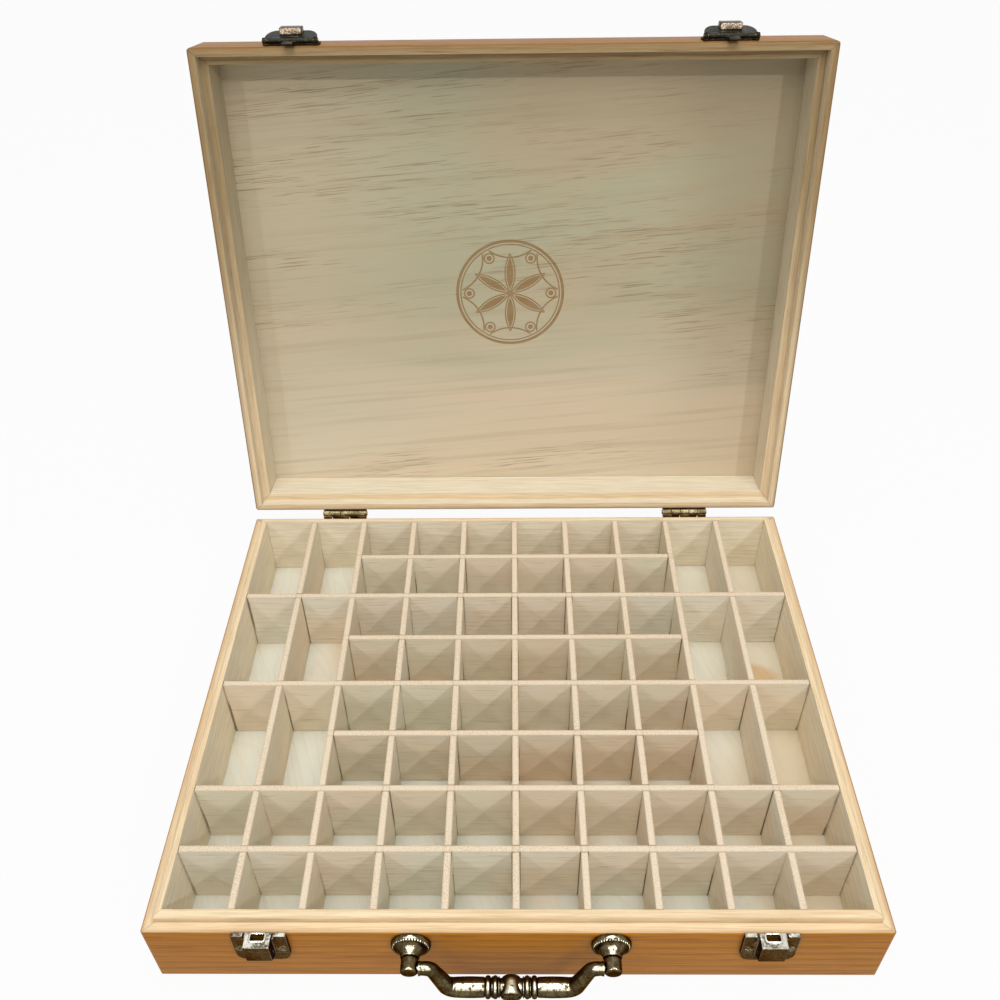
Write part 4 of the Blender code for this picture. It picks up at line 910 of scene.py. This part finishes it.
nickel = Finish("worn_nickel", metallic=1.0, roughness=0.3, Specular_Tint=(0.30, 0.25, 0.18))
spots = nickel.noise(nickel.place, scale=900.0, detail=4.0, roughness=0.65)
soft = nickel.noise(nickel.place, scale=130.0, detail=2.0)
# Painted reflection: bright where the plating faces up, brown where it faces the front
rubbed_and_lit = nickel.fade(facing(nickel, (0, 0, 1)), 0.45, 0.85)
bright = nickel.mix(nickel.fade(spots * 0.5 + soft * 0.5, 0.42, 0.56), NICKEL_GREY, NICKEL_BRIGHT)
colour = nickel.mix(rubbed_and_lit, nickel.mix(nickel.fade(spots, 0.35, 0.65), *NICKEL_FRONT_SHADE), bright)
nickel.set(Base_Color=colour, Roughness=nickel.fade(spots, 0.3, 0.7, 0.42, 0.24))
nickel.relief(spots, 0.000015)
BRIGHT_NICKEL = metal_finish("bright_nickel", (0.40, 0.38, 0.31), (0.80, 0.78, 0.69), roughness=0.24)
EAR_EDGE = metal_finish("nickel_edge", (0.16, 0.13, 0.09), (0.46, 0.43, 0.35), roughness=0.28)
slot_depth = (SLOT_FAR - SLOT_NEAR) / 2
slot_middle = -(SLOT_NEAR + SLOT_FAR) / 2 - BOX_HALF_DEPTH
for side in ("left", "right"):
    body_name, keeper = f"{side}_keeper_body", f"{side}_keeper"
    eased_piece(body_name, keeper, KEEPER_EASE, nickel, EAR_EDGE, "base", "worn_nickel")
    low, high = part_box(keeper)
    middle_x = (low.x + high.x) / 2
    rings = []
    for growth, rise in zip(RIM_GROWTH, RIM_RISE):
        ring = rounded_ring(SLOT_HALF + growth, slot_depth + growth, SLOT_CORNER + growth)
        ring = ring + (middle_x, slot_middle)
        rings.append(np.column_stack([ring, np.full(len(ring), high.z + rise)]))
    rim = skin(np.array(rings + [rings[0]]), ends=False)
    piece(f"{side}_keeper_rim", rim, BRIGHT_NICKEL, "base", "worn_nickel")
    for number, offset in ((1, -KEEPER_SCREW_X), (2, KEEPER_SCREW_X)):
        place = (middle_x + offset, -BOX_HALF_DEPTH - KEEPER_PROUD, KEEPER_SCREW_Z)
        head = skin(screw * (1, -1, 1) + place, smooth=50)
        solid = f"{side}_keeper_screw_{number}"
        piece(f"{side}_keeper_head_{number}", head, OLD_BRASS, "base", "old_brass", solid)

# ---- Latches on the lid ------------------------------------------------------------------
# Blackened plates with two pin lugs; the lever turns on the pin, and its thumb block is rubbed to
# pale gold.
LATCH_EASE = 0.00018
LATCH_PIN_RADIUS = 0.0007
LATCH_PIN_DOME = 0.0002
THUMB_FOOT = 0.3443
THUMB_GOLD = ((0.20, 0.125, 0.07), (0.93, 0.74, 0.55))
THUMB_BLACK = ((0.018, 0.017, 0.013), (0.075, 0.068, 0.050))
BRONZE_SPOTS = ((0.016, 0.014, 0.011), (0.050, 0.044, 0.033))
BLACK_BRONZE = metal_finish("black_bronze", *BRONZE_SPOTS, roughness=0.38, cover=(0.45, 0.7))
BRONZE_EDGE = metal_finish("bronze_edge", (0.030, 0.026, 0.020), (0.17, 0.145, 0.10), roughness=0.3)

thumb = Finish("thumb_bronze", metallic=1.0, roughness=0.32)
spots = thumb.noise(thumb.place, scale=1300.0, detail=3.0, roughness=0.7)
rubbed_and_lit = thumb.fade(thumb.parts(thumb.place)[2], THUMB_FOOT, THUMB_FOOT + 0.0004)
rubbed_and_lit = rubbed_and_lit * thumb.fade(facing(thumb, (0, -1, 0.2)), 0.45, 0.80)
gold = thumb.mix(thumb.fade(spots, 0.42, 0.58), *THUMB_GOLD)
black = thumb.mix(thumb.fade(spots, 0.50, 0.70), *THUMB_BLACK)
colour = thumb.mix(rubbed_and_lit, black, gold)
thumb.set(Base_Color=colour, Roughness=thumb.fade(spots, 0.3, 0.7, 0.44, 0.26))
thumb.relief(spots, 0.00002)
for side in ("left", "right"):
    plate, lever, pin = f"{side}_latch_plate", f"{side}_latch_lever", f"{side}_latch_pin"
    eased_piece(f"{side}_plate", plate, LATCH_EASE, BLACK_BRONZE, BRONZE_EDGE, "lid", "dark_bronze")
    eased_piece(f"{side}_lever", lever, LATCH_EASE, thumb, BRONZE_EDGE, f"{side}_lever", "dark_bronze")
    low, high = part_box(pin)
    grid = ring_about_x(pin_profile((high.x - low.x) / 2, LATCH_PIN_RADIUS, LATCH_PIN_DOME), 24)
    grid = grid + np.array((low + high) / 2)
    piece(f"{side}_lever_pin", skin(grid), RUBBED_BRASS, "lid", "old_brass", pin)

# ---- Handle ------------------------------------------------------------------------------
# Two turned posts with a beaded rosette against the front, each held by a bolt from inside, carry a
# cast bail with rings and a small drum in its middle.
POST_SPACING = 0.096
HANDLE_SHIFT = -0.0026
PIVOT_Z = 0.037
PIVOT_PROUD = 0.0126
BEADS = 38
BEAD_CIRCLE = 0.00866
BEAD_HALF = 0.00040
BEAD_SWELL = 0.00085
BAIL_DROP = 0.020
BAR_RADIUS = 0.0041
CHEEK_START = 0.0128
CHEEK_RADIUS = 0.0046
# Each ring of the bar: its middle from the bail's middle, its half length and its radius
BAR_RINGS = (
    (0.0059, 0.0004, 0.0049), (0.0077, 0.0013, 0.0053), (0.0092, 0.0004, 0.0049), (0.0112, 0.0014, 0.0053),
)
# Radius and distance out from the front board of the post and of its bolt, in millimetres
POST_MM = (
    (8.6, 0.25), (9.4, 0.30), (9.66, 0.6), (9.7, 1.1), (9.68, 1.7), (9.55, 2.3), (9.36, 2.65), (9.24, 2.66),
    (9.16, 2.62), (9.05, 2.75), (8.85, 2.95), (8.62, 3.12), (8.38, 3.24), (8.2, 3.22), (8.1, 3.12),
    (7.9, 3.12), (7.6, 3.28), (7.1, 3.5), (6.5, 3.85), (5.9, 4.4), (5.45, 5.05), (5.1, 5.75), (4.85, 6.45),
    (4.68, 7.1), (4.58, 7.6), (4.5, 7.82), (4.3, 7.92), (4.0, 7.98), (3.8, 8.05), (3.78, 8.2), (3.85, 8.35),
    (4.05, 8.42), (4.15, 8.55), (4.15, 9.5), (4.15, 11.0), (4.15, 12.6), (4.15, 13.8), (4.12, 14.3),
    (4.0, 14.7), (3.75, 14.95), (3.35, 15.08), (2.6, 15.1), (1.4, 15.1), (0.3, 15.1),
)
BOLT_MM = (
    (0.3, 11.9), (1.6, 11.85), (2.7, 11.6), (3.3, 11.2), (3.6, 10.7), (3.6, 9.9), (3.5, 9.75), (1.9, 9.7),
    (1.9, -5.0), (0.3, -5.2),
)
# Relief of the post against its distance out
POST_RELIEF_MM = (0, 1.6, 2.2, 2.9, 3.1, 3.5, 6.0, 7.6, 8.0, 8.3, 8.6, 9.2, 14.2, 14.9, 15.1)
POST_RELIEF = (0.3, 0.5, 0.75, 0.55, 0.3, 0.35, 0.5, 0.7, 0.1, 0.15, 0.75, 0.5, 0.5, 0.85, 0.5)
# Radius and distance out from the bail's line of the drum, and its relief against the radius
DRUM_MM = (
    (0.3, -4.9), (3.2, -4.8), (4.4, -4.4), (5.0, -3.6), (5.3, -2.4), (5.4, -1.0), (5.4, 1.0), (5.4, 3.2),
    (5.3, 4.0), (5.1, 4.5), (4.75, 4.82), (4.5, 4.6), (4.2, 4.3), (3.9, 4.25), (3.4, 4.35), (2.9, 4.45),
    (2.4, 4.5), (1.9, 4.5), (1.5, 4.42), (1.25, 4.5), (1.0, 4.75), (0.6, 4.88), (0.2, 4.9),
)
DRUM_RELIEF_MM = (0, 0.8, 1.4, 1.8, 3.8, 4.2, 4.7, 5.4)
DRUM_RELIEF = (0.6, 0.5, 0.1, 0.3, 0.3, 0.1, 0.8, 0.9)
DRUM_PETAL_CIRCLE = 0.0028
DRUM_PETAL_HALF = 0.0011
DRUM_PETAL_SWELL = 0.0007
CAST_SPOTS = ((0.060, 0.042, 0.020), (0.165, 0.125, 0.065))
CAST_BRASS = metal_finish("cast_brass", *CAST_SPOTS, roughness=0.26, cover=(0.42, 0.66), cast=True)


def smoothed(values, reach):
    """Each value's mean over the values beside it, up to `reach` steps either way."""
    padded = np.pad(values, reach, mode="edge")
    return np.convolve(padded, np.ones(2 * reach + 1) / (2 * reach + 1), mode="valid")


def with_relief(mesh, relief):
    """Writes the raised and hollow places of a grid onto its mesh, for the cast metal's colour."""
    values = relief.ravel().astype(np.float32)
    mesh.attributes.new("relief", "FLOAT", "POINT").data.foreach_set("value", values)
    return mesh


def turned_out(radius, out, angle):
    """A turned body whose axis points out of the front board: each radius goes round a circle."""
    return np.stack([radius * np.cos(angle), out + 0 * angle, radius * np.sin(angle)], axis=-1)


# Beads stand round the rosette: half circles along it, on a bell-shaped ridge across it
post_profile = np.array(POST_MM) / 1000
angle = np.linspace(0, 2 * np.pi, BEADS * 8, endpoint=False)
beaded = np.exp(-((post_profile[:, 0] - BEAD_CIRCLE) / BEAD_HALF) ** 2) * (post_profile[:, 1] < 0.0036)
round_off = np.sqrt(1 - np.minimum(np.abs((angle * BEADS / (2 * np.pi)) % 1 * 2 - 1), 0.98) ** 2)
swell = BEAD_SWELL * beaded[:, None] * (round_off - 0.55)
post_grid = turned_out(post_profile[:, :1] + swell * 0.3, -(post_profile[:, 1:2] + swell), angle)
post_relief = np.interp(post_profile[:, 1], np.array(POST_RELIEF_MM) / 1000, POST_RELIEF)
post_relief = np.where(beaded[:, None] > 0.25, 1.25 * round_off - 0.1, post_relief[:, None] + 0 * angle)
bolt_profile = np.array(BOLT_MM) / 1000
bolt_angle = np.linspace(0, 2 * np.pi, 48, endpoint=False)
bolt_grid = turned_out(bolt_profile[:, :1], bolt_profile[:, 1:2], bolt_angle)
for side, sign in (("left", -1), ("right", 1)):
    place = np.array((HANDLE_SHIFT + sign * POST_SPACING / 2, -BOX_HALF_DEPTH, PIVOT_Z))
    post = with_relief(skin(post_grid + place, smooth=60), post_relief)
    piece(f"{side}_post", post, CAST_BRASS, "base", "old_brass", f"{side}_handle_post")
    bolt = skin(bolt_grid + place)
    piece(f"{side}_bolt", bolt, BRIGHT_NICKEL, "base", "worn_nickel", f"{side}_handle_bolt")


def bail_path():
    """The bail's centre line from its middle to its right end, as (x, z), with its radius: a straight bar
    with rings, each an ellipse over the bar's radius, and a swelling cheek; an arc up to the arm's slope,
    the straight arm, an arc back to level, and the shoulder and peg that turn in the post."""
    slope, lower, upper, start = math.radians(70), 0.0052, 0.0040, 0.027
    bar = np.concatenate([np.linspace(0, 0.0129, 75), np.linspace(0.0134, start, 16)])
    radius = np.full(bar.shape, BAR_RADIUS)
    for centre, half, size in BAR_RINGS:
        inside = np.clip(1 - ((bar - centre) / half) ** 2, 0, 1)
        radius = np.maximum(radius, BAR_RADIUS + (size - BAR_RADIUS) * np.sqrt(inside))
    swelling = 0.0002 * np.sin((bar - CHEEK_START) / (start - CHEEK_START) * np.pi)
    radius = np.where(bar > CHEEK_START, CHEEK_RADIUS + swelling, radius)
    first = np.column_stack([bar, np.full(bar.shape, -BAIL_DROP), radius])
    turn = np.linspace(0, slope, 12)[1:]
    bend_x, bend_z = start + lower * np.sin(turn), lower * (1 - np.cos(turn)) - BAIL_DROP
    bend = np.column_stack([bend_x, bend_z, CHEEK_RADIUS - 0.0005 * turn / slope])
    rise = BAIL_DROP - (lower + upper) * (1 - math.cos(slope))
    end_x = start + (lower + upper) * math.sin(slope) + rise / math.tan(slope)
    back = np.linspace(slope, 0, 12)
    top_x, top_z = end_x - upper * np.sin(back), -upper * (1 - np.cos(back))
    top = np.column_stack([top_x, top_z, 0.0032 + 0.0002 * back / slope])
    shoulder = POST_SPACING / 2 - 0.0044
    tail = np.array([
        (end_x + 0.001, 0, 0.0031), (shoulder - 0.0012, 0, 0.0031), (shoulder - 0.0004, 0, 0.0034),
        (shoulder, 0, 0.0033), (shoulder + 0.0001, 0, 0.0017), (shoulder + 0.0033, 0, 0.0016),
    ])
    return np.concatenate([first, bend, top, tail])


# A circle is carried along the path, square to it
right_half = bail_path()
path = np.concatenate([(right_half * (-1, 1, 1))[:0:-1], right_half])
along = np.gradient(path[:, :2], axis=0)
along[np.hypot(*along.T) < 1e-9] = (1, 0)
along /= np.hypot(along[:, 0], along[:, 1])[:, None]
around = np.linspace(0, 2 * np.pi, 48, endpoint=False)
x = path[:, :1] - along[:, 1:2] * path[:, 2:3] * np.cos(around)
z = path[:, 1:2] + along[:, :1] * path[:, 2:3] * np.cos(around)
y = path[:, 2:3] * np.sin(around)
bail = np.stack([x + HANDLE_SHIFT, y - BOX_HALF_DEPTH - PIVOT_PROUD, z + PIVOT_Z], axis=-1)
bail_relief = 0.5 + (path[:, 2] - smoothed(path[:, 2], 9)) / 0.0009
bail_relief = np.where(np.abs(path[:, 0]) > 0.013, 0.5, np.clip(bail_relief, 0, 1))[:, None] + 0 * around
bail_mesh = with_relief(skin(bail, smooth=50), bail_relief)
piece("bail", bail_mesh, CAST_BRASS, "handle", "old_brass", "handle_bail")

# The drum's outer face carries eight petals: a wave round it, on a bell-shaped ridge across it
drum_profile = np.array(DRUM_MM) / 1000
drum_angle = np.linspace(0, 2 * np.pi, 120, endpoint=False)
wave = np.abs(np.cos(drum_angle * 4))
petal = np.exp(-((drum_profile[:, 0] - DRUM_PETAL_CIRCLE) / DRUM_PETAL_HALF) ** 2)
petal = (petal * (drum_profile[:, 1] > 0.004))[:, None]
drum_out = drum_profile[:, 1:2] + DRUM_PETAL_SWELL * petal * (wave - 0.55)
drum = turned_out(drum_profile[:, :1], -drum_out, drum_angle)
drum += (HANDLE_SHIFT, -BOX_HALF_DEPTH - PIVOT_PROUD, PIVOT_Z - BAIL_DROP)
drum_relief = np.interp(drum_profile[:, 0], np.array(DRUM_RELIEF_MM) / 1000, DRUM_RELIEF)[:, None]
drum_relief = np.where(petal > 0.1, 0.7 * wave, drum_relief)
piece("bail_drum", with_relief(skin(drum, smooth=50), drum_relief), CAST_BRASS, "handle", "old_brass")
